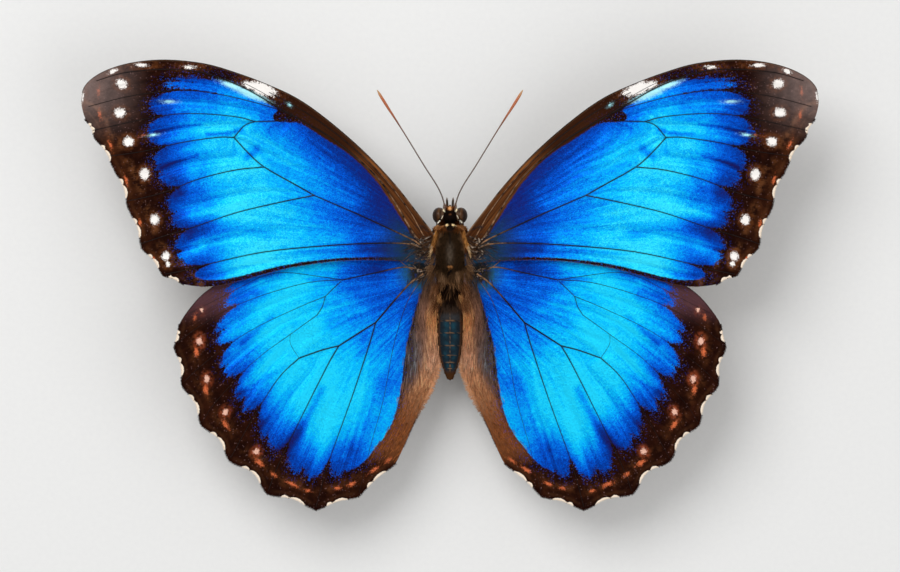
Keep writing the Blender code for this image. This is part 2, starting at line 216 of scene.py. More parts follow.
HINDWING["ember"] = [
    (41.6, -5, 0.7, 1.6, 10), (41.4, -10.7, 0.9, 1.9, 0), (39.9, -17, 0.9, 2, -12),
    (36.7, -22.7, 0.9, 2.1, -35), (31.2, -29, 1, 2.2, -52), (25.9, -32.5, 2.6, 0.8, 25),
    (23.4, -33.6, 1.2, 0.6, 10), (18.5, -33.2, 1.4, 0.7, -10), (16.1, -32.5, 1.7, 0.75, -20),
    (12.5, -30.2, 2.4, 0.7, -35), (10.1, -28.6, 1.9, 0.7, -40), (28.9, -30.9, 1.4, 0.7, 35),
]
# Darker (below 0) and brighter runs of the blue as (points, half width, change of tone): partly the
# blue's own streaks, partly painted shade along folds and veins and painted highlights
FOREWING["shades"] = [
    ([(30, 8.6), (36, 9.4), (42, 8.8)], 1.3, -0.24), ([(5, 8.2), (11.8, 8.6)], 1.6, 0.14),
    ([(16, 13.4), (22, 17), (27.5, 21)], 1.6, 0.12), ([(18, 7.6), (25, 8.2)], 1.6, 0.1),
    ([(14, 15), (18, 18.3), (23, 22.3), (26, 24.6)], 1.3, 0.1),
    ([(31, 31), (37, 31.9), (45.6, 32.5)], 1.4, 0.34), ([(40.5, 29.4), (44, 29)], 1.2, 0.15),
    ([(37, 1.5), (40, 1.5)], 0.7, -0.12), ([(10.5, 6.1), (14.5, 6.2)], 0.8, -0.14),
    ([(34, 25.5), (36, 24.95), (39.5, 24.7)], 0.4, -0.34),
    ([(40.5, 26.3), (44, 25.9), (48, 25)], 0.22, -0.34),
    ([(41, 21.2), (44.5, 20.2), (47, 19.2)], 0.24, -0.34), ([(31.5, 22.4), (33.2, 21)], 0.7, -0.3),
    ([(34, 27), (41, 27.2)], 0.5, -0.12), ([(36, 22.9), (43, 22.3)], 0.6, 0.05),
    ([(33, 16.4), (38, 15.2), (43, 13.9)], 1.4, -0.14), ([(35, 22), (40, 20.6)], 1.2, -0.14),
    ([(42, 18.6), (42.5, 11.8)], 1.4, 0.14), ([(41, 15.8), (45, 15)], 0.6, -0.14),
    ([(30, 5), (37, 3.6)], 1.2, 0.06), ([(35, 12.8), (42, 11.3)], 0.9, 0.14),
    ([(40.6, 6.6), (43.6, 4.4)], 1.2, 0.3), ([(43.5, 24.3), (47, 23.4)], 0.6, 0.16),
    ([(32, 27.6), (36, 29)], 1.2, 0.1), ([(40.5, 12.8), (44, 12.6)], 0.9, 0.16),
]
HINDWING["shades"] = [
    ([(11, -16), (13, -20.6), (16, -26)], 2.2, -0.33), ([(5.5, -1.5), (9, -7)], 1.8, 0.12),
    ([(21, -17), (24, -22.6), (27.5, -27.5)], 0.9, -0.4), ([(36, -3.5), (36.3, -12.5)], 2, 0.2),
    ([(25.6, -12.2), (29, -14.5), (34.5, -17.6)], 0.4, -0.16),
    ([(26, -17.5), (31.5, -23.5)], 0.5, -0.2), ([(22, -6.5), (25, -9.6)], 1.6, 0.22),
    ([(24, 0.3), (30, -0.4)], 1.3, 0.16), ([(29, -5), (34, -9.3)], 0.5, -0.3),
    ([(31, -5.8), (37, -8.6)], 0.8, 0.12), ([(27.6, -10.8), (33.5, -15.8)], 1, 0.22),
    ([(12, 3), (17, 2.6)], 1.6, -0.16), ([(14, -4), (17, -3.4)], 0.9, 0.1),
    ([(18, 0), (15.4, -0.6)], 1.1, -0.14), ([(5, 2.2), (9, 0.8)], 1.9, 0.16),
    ([(19.5, -18), (20.6, -24), (20.8, -30)], 1.2, 0.16), ([(31, 0.6), (35, -0.4)], 1, 0.2),
    ([(13.5, -12), (15, -20), (17.6, -28)], 0.35, 0.16), ([(26, -18), (30, -21.4)], 0.9, 0.1),
    ([(21, -19), (24.6, -24.6)], 1.6, -0.1), ([(28, -11), (31, -10.6)], 1.6, -0.12),
    ([(14, -9), (14.6, -11)], 1.2, -0.12), ([(31, -15.2), (33, -16.8)], 0.8, 0.14),
    ([(19.4, -12.8), (20.4, -15)], 1, 0.1),
]
# Streaks fan from the root as far as the first number, and follow the veins past the second
FOREWING["fan_reach"] = (24.0, 34.0)
HINDWING["fan_reach"] = (16.0, 24.0)
# Pale bands across the underside as (half width, points)
FOREWING["bands"] = [
    (0.4, [(13, 20), (14.6, 16.2), (17, 12.6)]),
    (0.55, [(21.4, 25.4), (22.8, 21.4), (24.8, 18.6), (25.2, 16.4)]),
    (0.45, [(26.6, 28.6), (29, 25.4), (31.2, 22.2), (30.2, 18.8)]),
    (1, [(34.8, 34.6), (37.4, 30.4), (37.6, 26), (35.4, 21), (35, 16.2), (36.2, 11), (37.4, 6)]),
    (0.4, [(46.6, 36.2), (48.4, 31), (48.2, 25.4), (46.4, 19.4), (45.4, 13), (43.4, 7.4), (41.8, 3)]),
]
HINDWING["bands"] = [
    (0.35, [(8.4, 5), (9.6, 1.4), (8.4, -2.6), (6.2, -5)]),
    (0.5, [(15, 6.4), (16.2, 1.6), (14.4, -4), (12.6, -8.4), (8.8, -12.6)]),
    (0.45, [(22, 6), (23.2, 0.6), (21, -5.2), (19.6, -10.8), (14.8, -15.8), (9.8, -19)]),
    (
        1.0,
        [(28.6, 4.4), (28.2, -2), (26.6, -8.4), (26.4, -14), (22, -19.2), (16.6, -22.8), (10.4, -24.6)],
    ),
    (
        0.4,
        [
            (38, 0.6), (38.8, -7.6), (37, -15.4), (33.4, -22.6), (28, -28.8), (21.4, -31.2),
            (12.6, -28.6),
        ],
    ),
]
# Ringed eyespots of the underside as (x, y, radius)
FOREWING["ocelli"] = [(42.3, 29.6, 1.9), (43.0, 25.6, 2.3), (40.0, 13.8, 3.3)]
HINDWING["ocelli"] = [(33.0, -4.6, 3.9), (31.8, -17.6, 2.9), (27.6, -23.3, 3.0), (20.4, -26.8, 2.1)]


def curve_through(points, steps=4):
    """Points of a Catmull-Rom curve through the given ones, as an array."""
    p = np.array(points, float)
    p = np.vstack([2 * p[0] - p[1], p, 2 * p[-1] - p[-2]])
    a, b, c, d = (p[i : len(p) - 3 + i, None, :] for i in range(4))
    t = (np.arange(steps) / steps)[None, :, None]
    run = 2 * b + (c - a) * t + (2 * a - 5 * b + 4 * c - d) * t**2 + (3 * b - a - 3 * c + d) * t**3
    return np.vstack([run.reshape(-1, p.shape[1]) / 2, p[-2]])


def evenly(path, spacing, axes=3, closed=False):
    """The same path with points at even spacing, measured along its first axes."""
    if closed:
        path = np.vstack([path, path[:1]])
    length = np.r_[0, np.cumsum(np.linalg.norm(np.diff(path[:, :axes], axis=0), axis=1))]
    count = int(length[-1] / spacing) + axes - 1
    at = np.linspace(0, length[-1], count)[: count - closed]
    return np.stack([np.interp(at, length, column) for column in path.T], 1)


def unit(directions):
    """The same directions, each with a length of 1."""
    return directions / np.linalg.norm(directions, axis=-1, keepdims=True)


def nearest_on(path, places):
    """Distance of each place to a path, and the path's share where it is nearest."""
    best, share = np.full(len(places), 1e9), np.zeros(len(places))
    for i, (a, b) in enumerate(zip(path, path[1:])):
        step = b - a
        t = np.clip(((places - a) @ step) / max(step @ step, 1e-12), 0, 1)
        gap = np.hypot(*(places - a - t[:, None] * step).T)
        nearer = gap < best
        best[nearer], share[nearer] = gap[nearer], (i + t[nearer]) / (len(path) - 1)
    return best, share


def gap_to(points, places):
    """Distance of each place to the curve through some points."""
    return nearest_on(curve_through(points), places)[0]


def depth_in(loop, places):
    """Distance to a closed loop, positive inside it."""
    x, y = places.T
    inside = np.zeros(len(places), bool)
    for (x0, y0), (x1, y1) in zip(loop, np.roll(loop, -1, 0)):
        crosses = (y0 > y) != (y1 > y)
        inside ^= crosses & (x < (x1 - x0) * (y - y0) / ((y1 - y0) or 1) + x0)
    gap = nearest_on(np.vstack([loop, loop[:1]]), places)[0]
    return np.where(inside, gap, -gap)


def smoothstep(low, high, value):
    t = np.clip((value - low) / (high - low), 0, 1)
    return t * t * (3 - 2 * t)


def bell(offset, width):
    """1 at no offset, falling smoothly to nothing a few widths away."""
    return np.exp(-((offset / width) ** 2))


def margin(wing, steps=16):
    """The toothed outer edge with, for each point, its share of the way across its bay."""
    run = []
    for (x0, y0, depth), (x1, y1, _) in zip(wing["teeth"], wing["teeth"][1:]):
        step = np.array([x1 - x0, y1 - y0])
        inward = unit(np.array([step[1], -step[0]]))
        for t in np.arange(steps) / steps:
            run.append([*((x0, y0) + step * t + inward * depth * sin(pi * t) ** 2), t])
    return np.array([*run, [*wing["teeth"][-1][:2], 0.0]])


def edge_runs(wing):
    """The leading, toothed and trailing edges of a wing, end to end."""
    teeth = wing["teeth"]
    lead = curve_through([*wing["lead"], teeth[0][:2]])[:-1]
    trail = curve_through([teeth[-1][:2], *wing["trail"]])[1:]
    return lead, margin(wing)[:, :2], trail


def wing_height(x, y, is_hind):
    """Mid height of a wing."""
    reach = (x - SHOULDER_X) / (HALF_SPAN - SHOULDER_X)
    z = SHOULDER_Z + TIP_RISE * np.sin(reach * pi / 2)
    if not is_hind:
        return z + OVERLAP_STEP
    behind = np.maximum(0.0, -y)
    fold = INNER_FOLD * bell(x - 2.0, 4.0) * np.minimum(1.0, behind / 5.0)
    return z - OVERLAP_STEP - HIND_DROOP * (behind / 37.0) ** 2 - fold


def bay_white(t):
    """Depth of the white at a share across a bay, as a share of its most: two dashes."""
    depth = np.zeros_like(t)
    for start, end in zip(WHITE_DASHES, WHITE_DASHES[1:]):
        depth += np.sin(np.clip((t - start) / (end - start), 0, 1) * pi) ** 0.5
    return depth


def spots_field(spots, places):
    """1 at a marking's middle, 0 at its edge and below outside, for the nearest marking."""
    field = np.full(len(places), -9.0)
    for x, y, length, width, turn in spots:
        c, s = cos(radians(turn)), sin(radians(turn))
        off = places - (x, y)
        u = (off[:, 0] * c + off[:, 1] * s) / (length / 2)
        v = (off[:, 1] * c - off[:, 0] * s) / (width / 2)
        # outside, fall off by real distance, so that small marks don't spread
        r = np.hypot(u, v)
        field = np.maximum(field, np.where(r < 1, 1 - r, -(r - 1) * min(length, width) / 2))
    return field


# ---------------------------------------------------------------- node trees


class Wire:
    """One socket's value. Sums on it add Math nodes to its tree."""

    def __init__(self, maker, socket):
        self.maker, self.socket = maker, socket

    def math(self, operation, first, second):
        return self.maker.node("ShaderNodeMath", {"operation": operation}, {0: first, 1: second})

    def least(self, other):
        return self.math("MINIMUM", self, other)

    def most(self, other):
        return self.math("MAXIMUM", self, other)

    def held(self):
        """The value held between 0 and 1."""
        return self.most(0.0).least(1.0)

    def ramp_between(self, low, high):
        """0 below low, 1 above high and smooth between."""
        settings = {"interpolation_type": "SMOOTHSTEP"}
        values = {"Value": self, "From Min": low, "From Max": high}
        return self.maker.node("ShaderNodeMapRange", settings, values)

    def near(self, middle, half_width):
        """1 where the value is at the middle, falling to 0 half a width away."""
        off = self.math("ABSOLUTE", self - middle, 0.0)
        return 1.0 - off.ramp_between(0.0, half_width)


SUMS = {"add": "ADD", "sub": "SUBTRACT", "mul": "MULTIPLY"}
for word, operation in SUMS.items():
    setattr(Wire, f"__{word}__", lambda self, other, o=operation: self.math(o, self, other))
    setattr(Wire, f"__r{word}__", lambda self, other, o=operation: self.math(o, other, self))


class Maker:
    """Adds nodes to one tree: a type, its settings, and the values of its sockets."""

    def __init__(self, tree):
        self.tree = tree

    def node(self, kind, settings=None, values=None, output=0):
        made = self.tree.nodes.new(kind)
        for key, value in (settings or {}).items():
            setattr(made, key, value)
        for key, value in (values or {}).items():
            self.put(self.find(made.inputs, key), value)
        return Wire(self, self.find(made.outputs, output))

    def put(self, socket, value):
        """Gives a socket a wire, a colour of three numbers, or a plain value."""
        if isinstance(value, Wire):
            self.tree.links.new(value.socket, socket)
        elif socket.type == "RGBA":
            socket.default_value = (*value, 1.0)
        else:
            socket.default_value = value

    @staticmethod
    def find(sockets, key):
        if isinstance(key, int):
            return sockets[key]
        return next(s for s in sockets if key in (s.identifier, s.name) and s.enabled)

    def also(self, wire, output):
        """Another output of the node that a wire comes from."""
        return Wire(self, self.find(wire.socket.node.outputs, output))

    def vector(self, x=0.0, y=0.0, z=0.0):
        return self.node("ShaderNodeCombineXYZ", values={"X": x, "Y": y, "Z": z})

    def vector_math(self, operation, first, second):
        """Vector Math of two vectors, or of a vector and what it is scaled by."""
        key = "Scale" if operation == "SCALE" else 1
        return self.node("ShaderNodeVectorMath", {"operation": operation}, {0: first, key: second})


class Finish(Maker):
    """A procedural material with the textures that the insect's surfaces share."""

    def __init__(self, name):
        self.material = bpy.data.materials.new(name)
        self.material.use_nodes = True
        super().__init__(self.material.node_tree)
        self.shader = self.tree.nodes["Principled BSDF"]
        self.place = self.node("ShaderNodeTexCoord", output="Object")

    def attribute(self, name, output="Fac"):
        return self.node("ShaderNodeAttribute", {"attribute_name": name}, output=output)

    def attributes(self, names):
        return (self.attribute(name) for name in names.split())

    def noise(self, per_mm, detail=2.0, at=None, rough=0.5, output="Fac"):
        values = {"Vector": at or self.place, "Detail": detail, "Roughness": rough}
        values["Scale"] = per_mm if at else per_mm / MM
        return self.node("ShaderNodeTexNoise", values=values, output=output)

    def streaks(self, across, along, seed, detail=3.0, rough=0.6):
        """Noise drawn out along a surface, in a run of its own for each seed."""
        return self.noise(1.0, detail, self.vector(across, along, seed), rough)

    def grains(self, per_mm, at=None, output="Color", feature="F1"):
        """Cells with a random number each, like single scales."""
        values = {"Vector": at or self.place, "Scale": per_mm / MM}
        cells = self.node("ShaderNodeTexVoronoi", {"feature": feature}, values, output)
        if output != "Color":
            return cells
        return self.node("ShaderNodeSeparateColor", values={"Color": cells}, output="Red")

    def mix(self, share, first, second):
        """Blends two colours, each a wire or linear RGB."""
        values = {"Factor_Float": share, "A_Color": first, "B_Color": second}
        return self.node("ShaderNodeMix", {"data_type": "RGBA"}, values, "Result_Color")

    def layered(self, colour, *coats):
        """A colour with others laid over it in turn, each by its share."""
        for share, over in coats:
            colour = self.mix(share, colour, over)
        return colour

    def ramp(self, share, *stops):
        """A colour ramp through (place, colour) stops."""
        made = self.node("ShaderNodeValToRGB", values={"Fac": share}, output="Color")
        ramp = made.socket.node.color_ramp
        while len(ramp.elements) < len(stops):
            ramp.elements.new(1.0)
        for element, (place, colour) in zip(ramp.elements, stops):
            element.position = place
            element.color = (*colour, 1.0)
        return made

    def bump(self, height, mm):
        values = {"Height": height, "Distance": mm * MM, "Strength": 1.0}
        return self.node("ShaderNodeBump", values=values, output="Normal")

    def done(self, relief, depth, **values):
        """Sets the shader: a wire is linked, a number or colour is set on its socket."""
        values["normal"] = self.bump(relief, depth)
        for key, value in values.items():
            name = key.replace("_", " ").title().replace("Ior", "IOR")
            self.put(self.shader.inputs[name], value)
        return self.material


# ---------------------------------------------------------------- colours (linear RGB)

INDIGO = (0.010, 0.011, 0.115)
ULTRAMARINE = (0.002, 0.030, 0.270)
ROYAL = (0.001, 0.105, 0.720)
AZURE = (0.002, 0.270, 0.900)
CYAN = (0.002, 0.485, 0.965)
PALE_CYAN = (0.014, 0.620, 0.985)
CREST = (0.035, 0.74, 0.995)
IVORY = (0.95, 0.8, 0.64)
ICE = (0.45, 0.92, 1.0)
PEARL = (0.96, 0.92, 0.88)
CHOCOLATE = (0.011, 0.0024, 0.0012)
UMBER = (0.038, 0.009, 0.0035)
GOLDEN_BROWN = (0.24, 0.088, 0.03)
TAN = (0.34, 0.165, 0.085)
RUST = (0.19, 0.058, 0.016)
EMBER = (0.64, 0.145, 0.052)
OCHRE = (0.50, 0.27, 0.06)
CREAM = (0.62, 0.50, 0.36)
BLACK = (0.006, 0.005, 0.006)


def upper_finish(name, is_hind):
    """The upper side: blue field, dark border with its spots, and bronze edges."""
    f = Finish(name)
    blue, tone, across, along, rim, vein, fan, beyond, apex, pale, aqua, ember = f.attributes(
        "blue tone across along rim vein fan beyond apex pale aqua ember"
    )
    grain, fine, cloud = f.grains(9.0), f.noise(1.8, 3.0), f.noise(0.2, 3.0)
    # streaks fan out from the root, and follow the veins further out
    rays = f.streaks(across * 4.0, along * 0.06, 0.0) * beyond
    rays = rays + f.streaks(fan * 26.0, along * 0.05, 5.0) * (1.0 - beyond)
    threads = f.streaks(across * 24.0, along * 0.22, 0.0, 2.0) * beyond
    threads = threads + f.streaks(fan * 130.0, along * 0.2, 3.0, 2.0) * (1.0 - beyond)
    # crumpled facets with creases between them: a real relief in the bump, and painted shading where they
    # also lighten and darken the blue
    swirl = f.vector_math("SCALE", f.noise(0.7, output="Color"), 1.3 * MM)
    bent = f.vector_math("ADD", f.place, swirl)
    crease = f.grains(1.5, bent, "Distance", "DISTANCE_TO_EDGE")
    crinkle = (0.8 - crease.ramp_between(0.0, 0.13)) * (cloud * 1.6 - 0.2)
    crinkle = crinkle - (f.grains(1.5) - 0.5) * 0.5
    lit = (tone * 1.6).least(1.0)
    shade = tone + (rays - 0.5) * (lit * (0.78 if is_hind else 0.56) + 0.1)
    shade = shade + (threads - 0.5) * 0.3 + (cloud - 0.5) * 0.2 * lit
    shade = shade + (grain - 0.5) * (0.1 + lit * 0.2) + (fine - 0.5) * 0.16 + crinkle * 0.12 * lit
    field = f.ramp(
        shade, (0.0, INDIGO), (0.2, ULTRAMARINE), (0.42, ROYAL), (0.62, AZURE), (0.82, CYAN),
        (0.94, (0.004, 0.56, 0.98) if is_hind else PALE_CYAN),
        (1.0, (0.014, 0.66, 0.99) if is_hind else CREST),
    )
    ragged = (grain - 0.5) * 1.2 + (fine - 0.5) * 1.6 + (threads - 0.5) * 1.5 + (rays - 0.5) * 2.4
    in_field = (blue + ragged * f.attribute("rag") * 0.75).ramp_between(-0.12, 0.12)
    spark = (grain - 0.9).most(0.0) * 8.0 * (blue + 2.6).ramp_between(0.0, 2.8)

    bronze = f.streaks(across * 14.0, along * 0.25, 0.0)
    patchy = f.noise(0.8, 4.0, rough=0.65)
    between = vein.ramp_between(0.1, 1.5)
    gilt = rim.near(2.7, 1.2) * between * (patchy * 1.7 + bronze * 0.7 - 1.0).ramp_between(0.0, 0.5)
    golden = (rim.near(2.7, 0.5) + rim.near(1.3, 0.3) * 0.6) * (patchy * 1.8 - 0.3).ramp_between(0.0, 0.7)
    halo = ember.ramp_between(-1.4, 0.2) * (patchy * 1.6 - 0.3).most(0.0)
    glow = (0.42, 0.085, 0.03) if is_hind else RUST
    feather = (grain - 0.5) * 0.6 + (fine - 0.5) * 0.9
    border = f.layered(
        CHOCOLATE,
        (((bronze + patchy - 0.9) * 1.6).most(0.0), UMBER),
        (gilt * (0.16 if is_hind else 0.4), GOLDEN_BROWN),
        (rim.near(0.9, 0.5) * between * patchy * 0.6, (0.08, 0.03, 0.012)),
        (golden * apex * 0.8, (0.26, 0.125, 0.07)),
        (halo * (0.16 if is_hind else 0.36), RUST),
        (pale.ramp_between(-1.0, 0.0) * (fine * 2.0 - 0.65).most(0.0), glow),
        ((ember + feather).ramp_between(0.0, 0.7), EMBER),
        ((f.grains(6.4) - 0.965).most(0.0) * 14.0 * patchy, (0.45, 0.25, 0.24)),
    )
    if is_hind:
        # the hindwing's front edge: purple-brown, partly its own colour and partly a painted sheen in
        # lighter streaks
        plum_sheen = f.mix(bronze, (0.045, 0.018, 0.024), (0.13, 0.055, 0.06))
        inner = f.ramp(
            f.attribute("trail") * 0.17 + (threads - 0.5) * 0.3, (0.0, TAN), (0.45, (0.26, 0.11, 0.05)),
            (0.65, (0.085, 0.05, 0.038)), (1.0, (0.035, 0.026, 0.026)),
        )
        inner = f.mix(along.ramp_between(19.0, 26.0) * 0.85, inner, (0.15, 0.045, 0.014))
        # painted shadow: a dark line along the edge of the blue where it meets the fur of the fold
        seam = blue.near(-0.3, 0.45) * (1.0 - along.ramp_between(18.0, 27.0)) * 0.85
        inner = f.mix(seam, inner, (0.006, 0.003, 0.004))
        border = f.layered(border, (f.attribute("plum_sheen"), plum_sheen), (f.attribute("fur"), inner))
        near_costa = 0.0
    else:
        lead = f.attribute("lead")
        gold = f.streaks(lead * 2.6, along * 0.1, 7.0, 2.0, 0.5)
        warm = along.ramp_between(1.0, 6.0) * 0.3 + along.ramp_between(10.5, 13.0) * 0.42 + 0.33
        warm = warm * (1.0 - along.ramp_between(14.0, 21.0) * 0.93) * ((gold - 0.33) * 2.6).held()
        band = f.mix(warm, (0.03, 0.009, 0.0035), (0.24, 0.082, 0.022))
        near_costa = (1.0 - lead.ramp_between(2.6, 3.6)) * (1.0 - along.ramp_between(24.0, 40.0))
        lip = (1.0 - lead.ramp_between(0.05, 0.45)) * 0.5
        border = f.layered(border, (near_costa, band), (lip, (0.2, 0.11, 0.06)))
    border = f.mix(apex * (patchy * 0.8 + 0.25), border, (0.25, 0.18, 0.165))

    dust = (1.0 - along.ramp_between(1.2, 4.9 if is_hind else 9.5)) * (fine * 1.3 + 0.4)
    slate = (0.014, 0.085, 0.17) if is_hind else (0.012, 0.036, 0.07)
    colour = f.layered(
        border,
        (in_field, field),
        (spark * (1.0 - near_costa) * (1.0 - in_field), ROYAL),
        ((aqua + feather * 0.5).ramp_between(-0.3, 0.6), ICE),
        ((pale + feather * 0.75).ramp_between(-0.05, 0.25), (0.86, 0.5, 0.38) if is_hind else PEARL),
        ((f.attribute("hem") + (grain - 0.5) * 0.1).ramp_between(-0.03, 0.03), IVORY),
        ((1.0 - vein.ramp_between(0.05, 0.28)) * 0.45, BLACK),
        (dust * (1.0 - near_costa), f.mix(along.ramp_between(1.0, 2.6), (0.018, 0.017, 0.016), slate)),
    )
    return f.done(
        grain * 0.3 + fine * 0.5 + threads * 0.5 + crinkle * 0.8, 0.05,
        base_color=colour,
        metallic=in_field * 0.35,
        roughness=0.6 - in_field * 0.18 + (grain - 0.5) * 0.16,
        specular_ior_level=0.015,
    )


def under_finish(name):
    """The under side: cocoa brown with cream bands, marginal lines and ringed eyespots."""
    f = Finish(name)
    across, along, rim, vein, ring, bands = f.attributes("across along rim vein ring bands")
    grain, fine, cloud = f.grains(6.0), f.noise(1.5, 3.0), f.noise(0.3, 3.0)
    threads = f.streaks(across * 20.0, along * 0.25, 0.0, 2.0)
    cream = bands + (f.noise(0.5, 3.0) - 0.5) * 1.5 + (fine - 0.5) * 0.9
    wobble = rim + (threads - 0.5) * 0.9
    spot = f.ramp(
        ring + (grain - 0.5) * 0.04, (0.0, PEARL), (0.1, (0.25, 0.42, 0.55)),
        (0.17, (0.09, 0.02, 0.015)), (0.3, BLACK), (0.6, (0.02, 0.012, 0.01)), (0.66, OCHRE),
        (0.84, OCHRE), (0.9, (0.03, 0.017, 0.012)), (1.0, (0.04, 0.022, 0.015)),
    )
    colour = f.layered(
        (0.055, 0.028, 0.017),
        (cloud * 0.7 + threads * 0.5 - 0.2, (0.15, 0.082, 0.048)),
        (bands.ramp_between(-4.5, 0.0) * 0.55, (0.03, 0.014, 0.009)),
        (cream.ramp_between(-0.1, 0.5) * (fine + 0.3).least(0.85), CREAM),
        (wobble.near(1.5, 0.4) * 0.85, RUST),
        (wobble.near(2.5, 0.35) * 0.8, BLACK),
        (wobble.near(3.5, 0.5) * 0.7, CREAM),
        (1.0 - ring.ramp_between(1.02, 1.1), spot),
        ((1.0 - vein.ramp_between(0.06, 0.25)) * 0.5, (0.03, 0.018, 0.012)),
    )
    return f.done(
        grain * 0.35 + fine * 0.6 + threads * 0.5, 0.05,
        base_color=colour,
        roughness=0.66 + (grain - 0.5) * 0.14,
        specular_ior_level=0.05,
    )


# ---------------------------------------------------------------- meshes


def add_object(name, mesh, *materials):
    made = bpy.data.objects.new(name, mesh)
    bpy.context.scene.collection.objects.link(made)
    for material in materials:
        mesh.materials.append(material)
    return made


def show(piece, slot, *nodes):
    """Puts a finished piece on the insect in place of its solids."""
    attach(piece, "root")
    if nodes:
        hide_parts(*nodes)
    return piece


def applied(piece):
    """The piece's mesh as its modifiers leave it."""
    graph = bpy.context.evaluated_depsgraph_get()
    return bpy.data.meshes.new_from_object(piece.evaluated_get(graph), depsgraph=graph)


def mesh_of(name, points, faces=(), edges=()):
    """A mesh from points in mm."""
    mesh = bpy.data.meshes.new(name)
    mesh.from_pydata((np.asarray(points) * MM).tolist(), list(edges), [list(f) for f in faces])
    mesh.shade_smooth()
    return mesh


def read(items, key, width=1, kind=float):
    """One property of a mesh's points, corners or faces."""
    found = np.zeros(len(items) * width, kind)
    items.foreach_get(key, found)
    return found.reshape(-1, width) if width > 1 else found


def write(layer, key, values):
    layer.data.foreach_set(key, np.asarray(values, np.float32).ravel())


def set_fields(mesh, fields):
    """Writes a number, direction or colour for every point of a mesh."""
    kinds = {1: ("FLOAT", "value"), 3: ("FLOAT_VECTOR", "vector"), 4: ("FLOAT_COLOR", "color")}
    for name, values in fields.items():
        kind, key = kinds[np.size(values) // len(mesh.vertices)]
        write(mesh.attributes.new(name, kind, "POINT"), key, values)


def bristle_bed(name, roots, hue, length, lie, flat):
    """Points that a tuft stands on, with their places on a flat unwrap."""
    count = len(roots)
    mesh = mesh_of(name, roots)
    set_fields(mesh, {
        "hue": np.c_[hue, np.ones(count)],
        "length": length * MM,
        "lie": lie,
        "up": np.tile((0.0, 0.0, 1.0), (count, 1)),
        "unwrap": np.c_[flat, np.zeros(count)],
    })
    return mesh


def layered(hue, *coats):
    """Colours with others laid over them in turn, each by its share at every point."""
    for share, colour in coats:
        share = np.clip(share, 0, 1)[:, None]
        hue = np.asarray(hue) * (1 - share) + np.asarray(colour) * share
    return hue


def stitched(rings, first, last):
    """Closes a run of rings with a point at each end."""
    around, count = len(rings[0]), len(rings)
    points = np.vstack([*rings, first, last])
    i = np.arange(around)
    j = (i + 1) % around
    faces = []
    for a in range(0, (count - 1) * around, around):
        faces += np.c_[a + i, a + j, a + around + j, a + around + i].tolist()
    tail = (count - 1) * around
    faces += np.c_[j, i, np.full(around, count * around)].tolist()
    faces += np.c_[tail + i, tail + j, np.full(around, count * around + 1)].tolist()
    return points, faces


def tube(path, radii, around=12, squash=1.0):
    """Points and faces of a closed tube along a path, with a radius at each point."""
    ahead = unit(np.gradient(path, axis=0))
    side = np.cross(ahead[0], (0.0, 0.0, 1.0))
    if np.linalg.norm(side) < 0.1:
        side = np.array([1.0, 0.0, 0.0])
    turn = np.arange(around) * tau / around
    rings = []
    for centre, run, r in zip(path, ahead, radii):
        side = unit(side - run * (side @ run))
        up = np.cross(side, run)
        ring = np.outer(np.cos(turn), side) + np.outer(np.sin(turn) * squash, up)
        rings.append(centre + ring * r)
    return stitched(rings, path[0] - ahead[0] * radii[0] * 0.4, path[-1] + ahead[-1] * radii[-1] * 0.5)


def joined(name, shapes, side=1):
    """One mesh from several (points, faces) shapes on one side, all facing outward."""
    points, faces, start = [], [], 0
    for some_points, some_faces in shapes:
        points.append(some_points * (side, 1, 1))
        faces += [[i + start for i in face] for face in some_faces]
        start += len(some_points)
    mesh = mesh_of(name, np.vstack(points), faces)
    work = bmesh.new()
    work.from_mesh(mesh)
    bmesh.ops.recalc_face_normals(work, faces=work.faces)
    work.to_mesh(mesh)
    work.free()
    return mesh


# ---------------------------------------------------------------- wings


def membrane(wing, is_hind):
    """The wing's flat triangles and the fields that its markings follow."""
    runs = zip(edge_runs(wing), EDGE_INSETS)
    loop = evenly(np.vstack([np.c_[run, np.full(len(run), inset)] for run, inset in runs]), CELL, 2, True)
    along = np.roll(loop[:, :2], -1, 0) - np.roll(loop[:, :2], 1, 0)
    edge = loop[:, :2] + unit(np.c_[along[:, 1], -along[:, 0]]) * loop[:, 2:]

    low, high = edge.min(0), edge.max(0)
    rows = np.arange(low[1], high[1], CELL * sqrt(0.75))
    x, y = np.meshgrid(np.arange(low[0], high[0] + CELL, CELL), rows)
    x = x + (np.arange(len(rows)) % 2)[:, None] * CELL / 2
    grid = np.c_[x.ravel(), y.ravel()]
    grid = grid[depth_in(edge, grid) > CELL * 0.45]
    points = [Vector(p) for p in np.vstack([edge, grid])]
    ring = [(i, (i + 1) % len(edge)) for i in range(len(edge))]
    made = geometry.delaunay_2d_cdt(points, ring, [], 1, 1e-6)
    places, faces = np.array([v[:] for v in made[0]]), np.array(made[2])
    a, b, c = (places[faces[:, i]] for i in range(3))
    turned = np.cross(b - a, c - a) < 0
    faces[turned] = faces[turned][:, ::-1]
    return places, faces, wing_fields(wing, places, is_hind)


